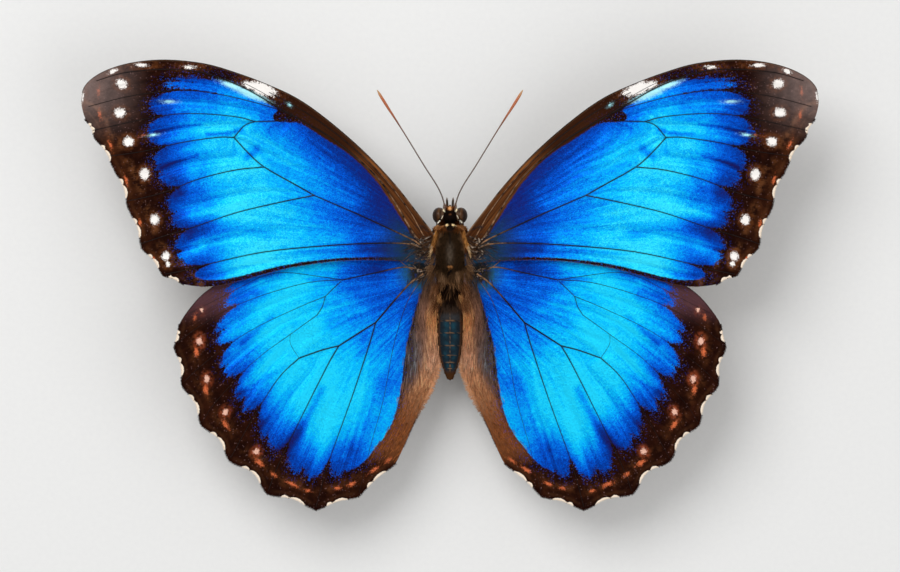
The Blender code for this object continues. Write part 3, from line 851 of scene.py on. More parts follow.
def wing_fields(wing, places, is_hind):
    """Numbers at every point of a wing that its colours and relief are worked out from."""
    x, y = places.T
    lead_gap, trail_gap = gap_to(wing["lead"], places), gap_to(wing["trail"], places)
    lines, vein_gap = [], np.full(len(places), 99.0)
    for (start, end), rank, path in wing["veins"].values():
        gap, share = nearest_on(curve_through(path), places)
        lines.append((gap, rank))
        thin = np.maximum(0.0, 0.1 - (start + (end - start) * share**0.5)) * 2.4
        vein_gap = np.minimum(vein_gap, gap + thin)
    weights, ranks = 0.0, 0.0
    for gap, rank in (*lines, (lead_gap, 0), (trail_gap, 9)):
        weight = (gap**2 + 0.02) ** -1.4
        weights, ranks = weights + weight, ranks + weight * rank
    across = ranks / weights
    from_root = places - wing["root"]
    along = np.hypot(*from_root.T)

    inner, outer = curve_through(wing["blue_inner"]), curve_through(wing["blue_outer"])
    inner_gap, shore = nearest_on(inner, places)[0], nearest_on(outer, places)[0]
    wedge = (3.8 if is_hind else 3.2) * np.exp(-vein_gap / 0.62) * (shore < inner_gap + 3)
    fold = (2.0 if is_hind else 1.2) * np.exp(-np.abs((across % 1.0) - 0.5) / 0.07)
    blue = depth_in(np.vstack([inner, outer]), places) - wedge * smoothstep(1.0, 4.0, lead_gap)
    blue = blue - np.where(shore < inner_gap, fold, 0.0)
    if is_hind:
        tone = 0.24 + 0.76 * smoothstep(2, 25, along)
        tone = tone * (0.74 + 0.26 * smoothstep(0, 5.0, inner_gap))
        tone = tone * (0.25 + 0.75 * smoothstep(0, 9.5, shore))
    else:
        tone = 0.06 + 0.92 * smoothstep(6, 36, x + 0.35 * (14 - y))
        tone = tone * (0.6 + 0.4 * smoothstep(0.5, 7.0, gap_to(wing["veins"]["radius"][2], places)))
        tone = tone * (0.22 + 0.78 * smoothstep(0, 11.5, shore))
    # runs of the blue's own streaks, of painted shade and of painted highlight
    for path, half_width, change in wing["shades"]:
        tone = tone + change * bell(gap_to(path, places), half_width)
    tone = tone * (1 - 0.5 * np.exp(-vein_gap / 0.6) * (1 - smoothstep(1, 10, shore)))
    fur = smoothstep(0.0, 1.4, shore - inner_gap) * smoothstep(0.6, -0.6, blue)
    edge = margin(wing, steps=40)
    rim, share = nearest_on(edge[:, :2], places)
    white = np.interp(share * (len(edge) - 1), np.arange(len(edge)), bay_white(edge[:, 2]))
    return {
        "blue": blue,
        "tone": tone,
        "across": across,
        "along": along,
        "fan": np.arctan2(from_root[:, 1], from_root[:, 0] + 6.0),
        "beyond": smoothstep(*wing["fan_reach"], along),
        "rim": rim,
        "hem": white * WHITE_DEPTH - rim,
        "rag": 0.12 + (1.05 if is_hind else 0.88) * smoothstep(-1.5, 1.5, inner_gap - shore),
        "vein": vein_gap,
        "lead": lead_gap,
        "trail": trail_gap,
        "apex": smoothstep(48, 60, x) * smoothstep(22, 33, y) * (not is_hind),
        # where the painted sheen of the purple-brown front edge lies
        "plum_sheen": smoothstep(26, 32, x) * smoothstep(-7, -2, y) * is_hind,
        "fur": fur * smoothstep(-29.8, -26.6, y) * is_hind,
        "ring": np.min([np.hypot(x - a, y - b) / r for a, b, r in wing["ocelli"]], axis=0),
        "bands": np.max([1 - gap_to(path, places) / w for w, path in wing["bands"]], axis=0),
        **{key: spots_field(wing[key], places) for key in ("pale", "aqua", "ember")},
    }


def pleats(fields):
    """Veins ride on low ridges and the folds between them in valleys."""
    depth = 0.04 + 0.13 * smoothstep(8, 45, fields["along"])
    return depth * np.cos(tau * fields["across"]) * smoothstep(0.0, 4.0, fields["lead"])


def on_wing(places, side, is_hind, fields, lift=0.0):
    """Places of a wing as points on one side's pleated sheet, or a little over it."""
    z = wing_height(*places.T, is_hind) + pleats(fields) + lift
    return np.c_[side * places[:, 0], places[:, 1] + Y_SHIFT, z]


def build_wing(name, side, is_hind, sheet, finishes):
    """A thin closed sheet: upper faces, under faces and the rim that joins them."""
    places, faces, fields = sheet
    count = len(places)
    top = on_wing(places, side, is_hind, fields, FILM / 2)
    if side < 0:
        faces = faces[:, ::-1]
    directed = np.vstack([faces[:, pair] for pair in ([0, 1], [1, 2], [2, 0])])
    _, first, used = np.unique(np.sort(directed, axis=1), axis=0, return_index=True, return_counts=True)
    a, b = directed[first[used == 1]].T
    walls = np.vstack([np.c_[b, a, a + count], np.c_[b, a + count, b + count]])
    everything = np.vstack([faces, walls, faces[:, ::-1] + count])
    mesh = mesh_of(name, np.vstack([top, top - (0, 0, FILM)]), everything.tolist())
    set_fields(mesh, {key: np.tile(values, 2) for key, values in fields.items()})
    piece = add_object(name, mesh, *finishes)
    is_under = np.arange(len(everything)) >= len(faces) + len(walls)
    mesh.polygons.foreach_set("material_index", is_under.astype(int))
    # bake map: the flat wing twice, the upper side in one half and the under side in the other
    span = places.max(0) - places.min(0)
    flat = (places - places.min(0)) / (max(span) * (2 if is_hind else 1)) * 0.98 + 0.005
    if not is_hind:
        flat *= min(1.0, 0.49 / (span[1] / span[0]))
    uv = np.vstack([flat, flat])
    uv[count:, 1 if span[0] > span[1] else 0] += 0.5
    corners = read(mesh.loops, "vertex_index", kind=int)
    corners = np.where(np.repeat(is_under, 3), corners, corners % count)
    write(mesh.uv_layers.new(name=BAKE_MAP), "uv", uv[corners])
    mesh.set_sharp_from_angle(angle=radians(50))
    return piece


def vein_net(name, wing, side, is_hind):
    """The veins as lines on the wing, with their thickness and how near the root they are."""
    points, edges, thick, root = [], [], [], []
    costa = curve_through(wing["lead"])[1:]
    ahead = unit(np.gradient(costa, axis=0))
    costa = costa + np.c_[ahead[:, 1], -ahead[:, 0]] * 0.14
    runs = [(radii, curve_through(path)) for radii, _, path in wing["veins"].values()]
    for (start, end), path in (*runs, ((0.16, 0.06), costa)):
        line = evenly(path, 0.5, 2)
        line = line[depth_in(np.vstack(edge_runs(wing)), line) > 0.12]
        fields = wing_fields(wing, line, is_hind)
        share = np.linspace(0, 1, len(line))
        edges += [(len(points) + i, len(points) + i + 1) for i in range(len(line) - 1)]
        points += on_wing(line, side, is_hind, fields, FILM / 2).tolist()
        thick += ((start + (end - start) * share**0.5) * 0.68 * MM).tolist()
        # on the front veins of the forewing the tan runs far out, as a painted glint along them
        in_front = path[0, 1] > 6.9 or path[0, 0] < 4.3
        reach = 24.0 if in_front and not is_hind else 7.0
        root += (1 - smoothstep(1.0, reach, fields["along"])).tolist()
    mesh = mesh_of(name, points, edges=edges)
    set_fields(mesh, {"thick": thick, "root": root})
    return mesh


def fringe_roots(name, wing, side, is_hind):
    """A point for every tuft of the fringe, pale in the bays and dark at the teeth."""
    rear = evenly(curve_through(wing["trail"]), 0.12, 2)
    rear = rear[(rear[:, 0] > 5.0) | (rear[:, 1] < -2.5)]
    teeth = margin(wing, steps=90)
    edge = np.vstack([teeth, np.c_[rear, np.zeros(len(rear))]])
    step = unit(np.gradient(edge[:, :2], axis=0))
    out = np.c_[-step[:, 1], step[:, 0]]
    outward = depth_in(np.vstack(edge_runs(wing)), edge[:, :2] + out * 0.2) <= 0
    out = np.where(outward[:, None], out, -out)
    roots = edge[:, :2] - out * (FRINGE + 0.08)
    white = bay_white(edge[:, 2])
    soft = np.where(np.arange(len(edge)) >= len(teeth), smoothstep(-24, -17, edge[:, 1]), 0.0)
    hue = layered(
        (0.022, 0.009, 0.006), (white > 0.25, IVORY),
        (soft, (0.6, 0.3, 0.16) if is_hind else (0.1, 0.045, 0.02)),
    )
    points = on_wing(roots, side, is_hind, wing_fields(wing, roots, is_hind))
    length = FRINGE + 0.1 - 0.04 * white + 0.5 * soft * is_hind
    flat = (roots - roots.min(0)) / np.ptp(roots, axis=0).max() * 0.9 + 0.05
    lie = np.c_[side * out[:, 0], out[:, 1], np.zeros(len(out))]
    return bristle_bed(name, points, hue, length, lie, flat)


def wing_fur_bed(name, side, is_hind, sheet):
    """The part of a wing's upper side that carries hair, with the hair's fields."""
    places, faces, fields = sheet
    near_root = 0.75 - 0.75 * smoothstep(1.2, 2.7 if is_hind else 4.2, fields["along"])
    grows = np.maximum(fields["fur"], near_root) if is_hind else near_root
    used, kept = np.unique(faces[(grows[faces] > 0.08).all(axis=1)], return_inverse=True)
    kept = kept.reshape(-1, 3)[:, :: 1 if side > 0 else -1]
    points = on_wing(places, side, is_hind, fields, FILM / 2)[used]
    flat = ((places - places.min(0)) / np.ptp(places, axis=0).max() * 0.9 + 0.05)[used]
    x, y = places[used].T
    along, trail, near_root = fields["along"][used], fields["trail"][used], near_root[used]
    count = len(used)
    low = smoothstep(-14, -21, y)
    width = np.interp(y, (-17, -12, -4, 0), (3.3, 2.6, 1.7, 0.5))
    outer = np.interp(y, (-15, -12, -8, -3), (1.7, 1.4, 1.0, 0.4))[:, None]
    # painted gleam: a slate-grey sheen on the hair beside the blue
    slate_gleam = np.exp(-((x - 6.0 - 0.12 * (-12 - y)) ** 2) / 1.1 - ((y + 12.0) ** 2) / 12.0)
    slate = smoothstep(1.6, 2.8, along)[:, None]
    hue = layered(
        (0.92, 0.42, 0.2),
        (smoothstep(width - 0.4, width + 0.8, trail), (0.32, 0.16, 0.105)),
        (smoothstep(width + 1.2, width + 2.2, trail), outer * (0.2, 0.135, 0.11)),
        (slate_gleam * 0.85, (0.22, 0.25, 0.28)),
        # painted highlight: paler pinkish hair beside the abdomen
        (bell(y + 11.0, 3.0) * smoothstep(3.0, 2.0, trail) * 0.45, (0.95, 0.56, 0.4)),
        (bell(y + 4.0, 1.6) * smoothstep(2.4, 1.4, trail) * 0.5, (0.95, 0.33, 0.09)),
        (low * 0.92, (0.37, 0.105, 0.024)),
        (smoothstep(-3, 1, y) * 0.8, (0.1, 0.05, 0.026)),
        (near_root * 1.34, (1 - slate) * (0.085, 0.053, 0.037) + slate * (0.04, 0.05, 0.07)),
    )
    if is_hind:
        length = 1.5 + 1.3 * bell(y + 4.0, 7.0) * smoothstep(4.5, 2.0, trail)
        length = length * (1 - 0.45 * near_root) * (1 - 0.35 * low)
        drift = np.interp(y, (-27, -20, -14, -6, 2, 8), (0.7, 0.55, 0.1, -0.08, 0.35, 1.2))
        lie = np.c_[side * drift, -np.ones(count), np.zeros(count)]
    else:
        length = np.full(count, 1.1)
        lie = np.c_[side * np.ones(count), (y - 7.0) * 0.25 - 0.3, np.full(count, 0.1)]
    mesh = mesh_of(name, points, kept.tolist())
    set_fields(mesh, {
        "hue": np.c_[hue, np.ones(count)],
        "length": length * MM,
        "fur": grows[used] * (0.45 + 0.55 * smoothstep(4.5, 2.5, trail)),
        "lie": unit(lie),
        "unwrap": np.c_[flat, np.zeros(count)],
    })
    return mesh


# ---------------------------------------------------------------- growing what repeats


class Grower(Maker):
    """A Geometry Nodes tree with named sizes, run once on a mesh and kept as plain mesh."""

    def __init__(self, name, floats="", ints=""):
        super().__init__(bpy.data.node_groups.new(name, "GeometryNodeTree"))
        face = self.tree.interface
        for way in ("INPUT", "OUTPUT"):
            face.new_socket("Geometry", in_out=way, socket_type="NodeSocketGeometry")
        sizes = [(word, "Float") for word in floats.split()] + [(word, "Int") for word in ints.split()]
        self.keys = {}
        for label, kind in (*sizes, ("Material", "Material")):
            made = face.new_socket(label, in_out="INPUT", socket_type=f"NodeSocket{kind}")
            self.keys[label] = made.identifier
        self.entry = self.tree.nodes.new("NodeGroupInput")
        self.exit = self.tree.nodes.new("NodeGroupOutput")

    def given(self, label):
        return Wire(self, self.find(self.entry.outputs, label))

    def field(self, name, kind="FLOAT"):
        settings = {"data_type": kind}
        return self.node("GeometryNodeInputNamedAttribute", settings, {"Name": name}, "Attribute")

    def random(self, low, high, seed, vector=False):
        kind = "FLOAT_VECTOR" if vector else "FLOAT"
        values = {"Min": (low,) * 3 if vector else low, "Max": (high,) * 3 if vector else high}
        values["Seed"] = seed
        return self.node("FunctionNodeRandomValue", {"data_type": kind}, values, "Value")

    def store(self, geometry, name, value, kind="FLOAT", domain="POINT"):
        values = {"Geometry": geometry, "Name": name, "Value": value}
        settings = {"data_type": kind, "domain": domain}
        return self.node("GeometryNodeStoreNamedAttribute", settings, values, "Geometry")

    def swept(self, curve, sides, scale):
        """A closed tube round a curve."""
        ring = self.node("GeometryNodeCurvePrimitiveCircle", values={"Resolution": sides, "Radius": 1.0})
        values = {"Curve": curve, "Profile Curve": ring, "Scale": scale, "Fill Caps": True}
        return self.node("GeometryNodeCurveToMesh", values=values)

    def close(self, geometry):
        shapes = self.node("GeometryNodeRealizeInstances", values={"Geometry": geometry})
        values = {"Geometry": shapes, "Material": self.given("Material")}
        painted = self.node("GeometryNodeSetMaterial", values=values)
        self.tree.links.new(painted.socket, self.exit.inputs[0])

    def grow(self, name, mesh, **sizes):
        piece = add_object(name, mesh)
        modifier = piece.modifiers.new(name, "NODES")
        modifier.node_group = self.tree
        for label, value in sizes.items():
            modifier[self.keys[label]] = value
        made = applied(piece)
        piece.modifiers.remove(modifier)
        piece.data = made
        made.shade_smooth()
        return piece


def tube_grower():
    """Round tubes along the edges of a mesh, as thick as its 'thick' field says."""
    g = Grower("tubes", ints="Sides")
    curve = g.node("GeometryNodeMeshToCurve", values={"Mesh": g.given("Geometry")})
    g.close(g.swept(curve, g.given("Sides"), g.field("thick")))
    return g


def coat_grower(name, on_faces):
    """Tufts of tapered, arched hairs that follow the 'lie' field of a skin.

    Fields of the skin: lie (direction), length, fur (share of the density), unwrap (its own
    unwrap, which places each tuft's patch on the bake map). Off faces, one tuft stands on
    every point and 'up' is its normal.
    """
    g = Grower(name, "Density Slim Arch Lift Stray Spread", "Strands Seed")
    seed = g.given("Seed")
    values = {"Resolution": 3, "Start": (0, 0, 0), "End": (1, 0, 0)}
    values["Middle"] = g.vector(0.5, 0.0, g.given("Arch"))
    blade = g.node("GeometryNodeCurveQuadraticBezier", values=values)
    t = g.node("GeometryNodeSplineParameter", output="Factor")
    blade = g.store(blade, "reach", t)
    blade = g.swept(blade, 3, (1.04 - t) * (t * 1.1 + 0.7) * g.given("Slim"))

    roots = g.given("Geometry")
    if on_faces:
        values = {"Mesh": roots, "Seed": seed, "Density": g.field("fur") * g.given("Density")}
        roots = g.node("GeometryNodeDistributePointsOnFaces", values=values, output="Points")
        roots = g.store(roots, "up", g.also(roots, "Normal"), "FLOAT_VECTOR")
    else:
        roots = g.node("GeometryNodeMeshToPoints", values={"Mesh": roots})
    roots = g.store(roots, "tuft", g.random(0.0, 1.0, seed + 1.0))
    roots = g.store(roots, "sway", g.random(-1.0, 1.0, seed + 2.0, vector=True), "FLOAT_VECTOR")
    values = {"Geometry": roots, "Amount": g.given("Strands")}
    hairs = g.node("GeometryNodeDuplicateElements", {"domain": "POINT"}, values, "Geometry")
    up, lie, sway, unwrap = (g.field(word, "FLOAT_VECTOR") for word in ("up", "lie", "sway", "unwrap"))
    length = g.field("length")
    aside = g.vector_math("CROSS_PRODUCT", up, g.random(-1.0, 1.0, seed + 3.0, vector=True))
    aside = g.vector_math("SCALE", aside, length * g.given("Spread"))
    hairs = g.node("GeometryNodeSetPosition", values={"Geometry": hairs, "Offset": aside})
    run = g.vector_math("ADD", lie, g.vector_math("SCALE", up, g.given("Lift")))
    for loose in (sway, g.random(-0.5, 0.5, seed + 4.0, vector=True)):
        run = g.vector_math("ADD", run, g.vector_math("SCALE", loose, g.given("Stray")))
    settings = {"primary_axis": "X", "secondary_axis": "Z"}
    values = {"Primary Axis": run, "Secondary Axis": up}
    turn = g.node("FunctionNodeAxesToRotation", settings, values)
    growth = length * g.random(0.65, 1.15, seed + 5.0)
    values = {"Points": hairs, "Instance": blade, "Rotation": turn, "Scale": growth}
    coat = g.node("GeometryNodeInstanceOnPoints", values=values)
    coat = g.node("GeometryNodeRealizeInstances", values={"Geometry": coat})
    patch = g.vector_math("SUBTRACT", g.vector(g.field("reach"), g.field("tuft")), (0.5, 0.5, 0.0))
    patch = g.vector_math("ADD", g.vector_math("SCALE", patch, TUFT_PATCH), unwrap)
    g.close(g.store(coat, BAKE_MAP, patch, "FLOAT2", "CORNER"))
    return g


# ---------------------------------------------------------------- the body's skin

# Skin stations as (y, half width, top, bottom), from the face to the waist
SKIN = [
    (13.1, 0.35, 9.9, 9), (12.8, 0.85, 10.6, 8.2), (12.2, 1.3, 11.1, 7.8), (11.4, 1.5, 11.35, 7.7),
    (10.7, 1.55, 11.3, 7.8), (10.3, 1.55, 11.1, 8), (10, 1.75, 11.5, 7.8), (9.6, 2.35, 12.1, 7.3),
    (9.2, 2.45, 12.25, 7.15), (8.85, 2.25, 12.2, 7.1), (8.3, 2.35, 12.45, 6.75), (7.4, 2.6, 12.8, 6.3),
    (6, 2.85, 13, 6), (4.5, 2.9, 12.95, 6), (3.2, 2.85, 12.75, 6.05), (2, 2.7, 12.2, 6.3),
    (1.1, 2.45, 11.55, 6.65), (-0.3, 2, 11, 7.1), (-1.2, 1.7, 10.7, 7.3), (-2.2, 1.75, 10.7, 7.25),
    (-3.3, 1.88, 10.75, 7),
]
JOINTS = [-3.4, -5.8, -7.8, -9.9, -11.5, -12.7, -13.7, -14.6, -15.4]
ABDOMEN_WIDTHS = [1.92, 2.02, 2.08, 1.96, 1.74, 1.44, 1.14, 0.82, 0.45]
RING_STEPS = (0.04, 0.1, 0.2, 0.3, 0.42, 0.54, 0.66, 0.78, 0.88, 0.94, 0.97, 0.99)
BODY_SIDES = 96
PALP = [(0.42, 12.5, 7.9), (0.46, 13.4, 8.1), (0.5, 14.1, 8.9), (0.52, 14.5, 9.9)]
TEGULA_LINE = [(2.1, 9.0), (2.35, 8.1), (2.6, 7.1), (2.85, 6.2), (3.1, 5.0)]
EYE_PLACE = np.array((1.8, 11.6, 9.8))
EYE_RADII = np.array((1.1, 1.35, 1.5))


def abdomen_axis(y):
    return 9.0 - 1.5 * (np.clip(-1.2 - y, 0, None) / 14.5) ** 1.5


def abdomen_width(y):
    return np.interp(y, JOINTS[::-1], ABDOMEN_WIDTHS[::-1])


def body_rows():
    """Rows of (y, half width, top, bottom) along the whole body, closest at the rings."""
    rows = evenly(curve_through(SKIN), 0.14, 2).tolist()
    for y0, y1 in zip(JOINTS, JOINTS[1:]):
        for s in RING_STEPS:
            y = y0 + (y1 - y0) * s
            width = abdomen_width(y) * (0.955 + 0.1 * s - 0.1 * smoothstep(0.93, 1.0, s))
            z = abdomen_axis(y)
            rows.append((y, width, z + width * 0.97, z - width * 0.93))
    return rows


def body_shape():
    """Points and faces of the body from the face to the last ring."""
    turn = np.arange(BODY_SIDES) * tau / BODY_SIDES
    rings = []
    for y, width, top, bottom in body_rows():
        level = np.full(BODY_SIDES, y)
        x = np.sin(turn) * width
        z = (top + bottom) / 2 + np.cos(turn) * (top - bottom) / 2
        # the chest is boxier than the abdomen
        box = smoothstep(-1, 3, y) * smoothstep(9.4, 7.5, y) * 0.1
        x = x * (1 + box * np.sin(2 * turn) ** 2)
        swell = 0.3 * bell(gap_to(TEGULA_LINE, np.c_[np.abs(x), level]), 0.5) * (np.cos(turn) > 0.15)
        rings.append(np.c_[x * (1 + swell * 0.25), level + Y_SHIFT, z + swell])
    return stitched(rings, rings[0].mean(0) + (0, 0.12, 0), rings[-1].mean(0) - (0, 0.2, 0))


def with_union(piece, others):
    """Merges closed shapes into a piece, so that no seam is left between them."""
    for other in others:
        modifier = piece.modifiers.new("union", "BOOLEAN")
        modifier.operation = "UNION"
        modifier.solver = "EXACT"
        modifier.object = other
    made = applied(piece)
    piece.modifiers.clear()
    piece.data = made
    made.shade_smooth()
    for other in others:
        bpy.data.objects.remove(other)


def body_fields(places, normals):
    """Colour, hair length, density and lie at points of the body's skin."""
    x, y, z = (places - (0, Y_SHIFT, 0)).T
    out, up = np.abs(x), normals[:, 2]
    top = smoothstep(-0.1, 0.45, up)
    count = len(x)

    def spot(at_x, at_y, size):
        return 1 - smoothstep(0.6, 1.0, np.hypot(out - at_x, y - at_y) / size)

    def stroke(path, half_width):
        gap = nearest_on(np.array(path), np.c_[out, y])[0]
        return 1 - smoothstep(0.55, 1.0, gap / half_width)

    wander = 0.16 * np.sin(y * 4.1 + x) + 0.1 * np.sin(y * 9.7 - x * 3.0)
    scutum_edge = np.interp(y, (2.0, 4.0, 6.0, 8.2, 9.2), (2.3, 2.4, 2.1, 1.5, 1.0))
    rear = smoothstep(2.6, 1.7, y - 0.45 * (out - 1.2) + wander)
    scutum = smoothstep(0.45, -0.35, out - scutum_edge + wander) * top * (1 - rear)
    sheen = scutum * bell(out, 0.5) * smoothstep(2.8, 4.8, y) * smoothstep(7.8, 6.0, y)
    strands = 0.72 + 0.4 * np.sin(x * 9.0 + 1.5 * np.sin(y * 1.7)) * np.sin(y * 4.6 + x)
    band = 1 - smoothstep(0.32, 0.55, gap_to(TEGULA_LINE, np.c_[out, y]))
    upper_band = band * (up > -0.2)
    # golden streaks of the tegula's hair and its brighter rear part: partly the hair's own gold and
    # partly painted highlight
    gold = 0.5 + 0.5 * np.sin(y * 5.0 + out * 9.0) * np.sin(y * 2.3 + out * 3.0)
    gold = np.maximum(gold * 0.6, smoothstep(7.2, 6.2, y) * 0.8)
    collar = smoothstep(8.85, 9.1, y) * smoothstep(10.3, 10.1, y)
    head = smoothstep(10.15, 10.35, y)
    eye_side = stroke([(1.12, 11.6), (1.42, 11.08)], 0.08)
    eye_side = np.maximum(eye_side, stroke([(1.7, 10.7), (1.9, 10.45)], 0.16))
    frons = smoothstep(0.75, 0.3, np.hypot(out, (y - 12.85) * 1.3)) * (z > 9.6)
    palp = smoothstep(12.95, 13.1, y) * (z < 10.5)
    hue = layered(
        (0.15, 0.078, 0.037),
        ((1 - top) * smoothstep(0.2, -0.6, up), (0.2, 0.12, 0.065)),
        (scutum, (0.026, 0.013, 0.005)),
        (sheen * strands, (0.125, 0.092, 0.066)),
        (scutum * bell(out, 0.14) * smoothstep(6.0, 7.4, y), (0.012, 0.008, 0.006)),
        (upper_band, (0.3, 0.11, 0.028)),
        (upper_band * gold, (0.66, 0.3, 0.1)),
        (spot(0.19, 3.15, 0.25) * top, (0.46, 0.19, 0.06)),
        (spot(0.0, 2.45, 0.36) * top, (0.004, 0.003, 0.003)),
        (rear * top * 0.85, (0.19, 0.092, 0.04)),
        (rear * spot(1.1, 1.8, 0.7) * top * 0.85, (0.34, 0.19, 0.1)),
        (smoothstep(-2.0, -3.0, y) * top, (0.05, 0.03, 0.02)),
        (rear * spot(1.95, -1.5, 0.9) * 0.9, (0.62, 0.27, 0.09)),
        (rear * top * spot(0.8, -0.4, 1.15) * 0.97, (0.006, 0.002, 0.001)),
        (rear * top * spot(0.1, -2.2, 1.1) * 0.95, (0.006, 0.002, 0.001)),
        (collar, (0.11, 0.034, 0.008)),
        # painted highlight along the roll of the collar
        (collar * stroke([(1.3, 9.95), (1.9, 9.75), (2.2, 9.5)], 0.4) * top, (0.5, 0.2, 0.07)),
        (spot(0.0, 9.5, 0.8) * collar, (0.014, 0.008, 0.006)),
        (stroke([(0.42, 10.06), (0.62, 10.0)], 0.22) * (up > 0.1), (0.85, 0.62, 0.36)),
        (head, (0.006, 0.003, 0.002)),
        (head * smoothstep(0.0, -0.5, up), (0.12, 0.06, 0.032)),
        (head * eye_side * (up > 0.05), (0.95, 0.8, 0.58)),
        (head * spot(0.93, 12.35, 0.24) * (up > 0), (0.8, 0.66, 0.45)),
        (head * spot(0.1, 11.75, 0.17), (0.14, 0.05, 0.02)),
        (frons, (0.4, 0.13, 0.034)),
        (spot(0.0, 12.75, 0.3) * (z > 9.6), (0.9, 0.5, 0.26)),
        (palp, (0.15, 0.11, 0.08)),
        (palp * smoothstep(14.0, 14.35, y), (0.62, 0.54, 0.46)),
        (palp * smoothstep(0.52, 0.66, out) * (y < 14), (0.24, 0.1, 0.036)),
    )
    # the abdomen has its own colours, plate by plate
    on_rings = smoothstep(-4.1, -4.9, y)
    side_share = out / abdomen_width(y)
    plate = smoothstep(0.86, 0.74, side_share) * (up > 0)
    # a teal band on each side of the plates: partly the scales' own colour and partly painted sheen
    teal_sheen = plate * bell(side_share - 0.34 - 0.08 * np.sin(y * 2.1), 0.2)
    teal_sheen = teal_sheen * (0.55 + 0.35 * np.sin(y * 3.7 + x) + 0.3 * bell(y + 6.7, 1.0))
    bow = 0.05 + 0.1 * (0.5 - side_share**2)
    rim = smoothstep(0.11, 0.04, np.min([np.abs(y - j - bow) for j in JOINTS[1:]], axis=0))
    patches = 0.12 + 0.6 * bell(side_share - 0.08, 0.24) + 0.2 * np.sin(x * 6.1 + y * 9.1)
    hide = layered(
        (0.085, 0.042, 0.022),
        ((up < -0.2) * 0.7, (0.22, 0.14, 0.08)),
        (plate, (0.013, 0.026, 0.038)),
        (teal_sheen, (0.014, 0.062, 0.092)),
        (plate * smoothstep(-6.2, -5.4, y) * 0.9, (0.045, 0.042, 0.042)),
        (plate * (out < 0.09) * (0.5 + 0.5 * np.sin(y * 8.0)), (0.2, 0.12, 0.07)),
        (rim * patches, (0.38, 0.2, 0.09)),
        (smoothstep(-13.5, -14.6, y), (0.08, 0.03, 0.009)),
    )
    hue = layered(hue, (on_rings, hide))

    length = np.interp(
        y,
        (-15.4, -9.0, -5.0, -3.2, -1.0, 1.0, 2.2, 3.4, 8.4, 9.0, 9.6, 10.2, 10.8, 12.4, 13.0, 14.5),
        (0.3, 0.32, 0.36, 1.0, 1.9, 2.0, 1.0, 0.5, 0.45, 0.85, 0.9, 0.75, 0.4, 0.34, 0.24, 0.16),
    )
    length = length + (1 - top) * smoothstep(-2, 3, y) * smoothstep(9.5, 8, y) * 0.7
    length = np.where((band > 0.3) & (up > -0.1) & (y < 9.2), 1.25, length)
    density = np.interp(
        y,
        (-15.4, -6.0, -4.5, -2.5, 2.0, 3.5, 8.5, 9.2, 10.0, 10.5, 15.0),
        (0.55, 0.5, 0.55, 0.6, 0.75, 0.8, 0.8, 1.0, 1.0, 0.9, 1.0),
    )
    density = density * np.where(on_rings > 0.5, 1 - 0.72 * plate * (1 - rim), 1.0)
    in_eye = (np.abs(places) - EYE_PLACE - (0, Y_SHIFT, 0)) / (EYE_RADII * 1.02)
    density = np.where(np.linalg.norm(in_eye, axis=1) < 1, 0.0, density)
    # hairs lie backwards, turned outwards on the flanks, forwards on the face
    waist = smoothstep(3.0, 0.5, y) * smoothstep(-3.5, -1.0, y)
    back = np.c_[x * 0.16 + np.sign(x) * waist * 0.25, -np.ones(count), (z - 9.5) * 0.04]
    face = smoothstep(12.1, 12.7, y)[:, None]
    back = back * (1 - face) + np.c_[x * 0.5, np.ones(count), np.full(count, 0.3)] * face
    flat = back - normals * np.sum(back * normals, axis=1)[:, None]
    lie = flat / np.maximum(np.linalg.norm(flat, axis=1), 1e-6)[:, None]
    return {"hue": np.c_[hue, np.ones(count)], "length": length * MM, "fur": density, "lie": lie}


def wrap_round(mesh, places):
    """Bake map of the body: round it across, along it up, with the seam under the belly."""
    x, y, z = places.T
    turn = np.arctan2(x, z - abdomen_axis(y) - 0.5 * smoothstep(-3, 2, y)) / tau + 0.5
    along = (y - y.min()) / np.ptp(y)
    corners = read(mesh.loops, "vertex_index", kind=int)
    starts, totals = (read(mesh.polygons, key, kind=int) for key in ("loop_start", "loop_total"))
    u = turn[corners]
    high = np.repeat(np.maximum.reduceat(u, starts), totals)
    u = np.where(high - u > 0.5, u + 1.0, u)
    uv = np.c_[0.01 + u * 0.96, 0.01 + along[corners] * 0.98]
    write(mesh.uv_layers.new(name=BAKE_MAP), "uv", uv)
    unwrap = mesh.attributes.new("unwrap", "FLOAT_VECTOR", "CORNER")
    write(unwrap, "vector", np.c_[uv, np.zeros(len(uv))])


# ---------------------------------------------------------------- finishes of the body


def fur_finish(name, rough=0.62, streak=0.34, root=0.5, highlight_strength=0.8, painted_glow=0.0):
    """Hair: its skin's colour with every tuft a little different, darkened toward the root as painted
    shade and lightened toward the tip as painted highlight; where given, its emission is a painted glow.
    """
    f = Finish(name)
    hue = f.attribute("hue", "Color")
    tuft, reach = f.attributes("tuft reach")
    # painted shade and highlight: dark at the root and lighter toward the tip, plus the real differences
    # between tufts
    light = root + reach * 0.6 + (tuft - 0.5) * streak * 2.4 + (f.noise(2.4, 3.0) - 0.5) * streak * 2.0
    dark = f.mix(light.held(), (0.003, 0.002, 0.0015), hue)
    # painted highlight: the lightest strands are lifted to a paler tint of their colour
    lift = ((light - 0.9).most(0.0) * highlight_strength).least(1.0)
    tip = f.vector_math("MINIMUM", f.vector_math("SCALE", hue, 2.4), (0.95, 0.95, 0.95))
    return f.done(
        f.grains(9.0, output="Distance"), 0.012,
        base_color=f.mix(lift, dark, tip),
        emission_color=hue,
        emission_strength=painted_glow,
        roughness=rough + (tuft - 0.5) * 0.2,
        specular_ior_level=0.02,
    )


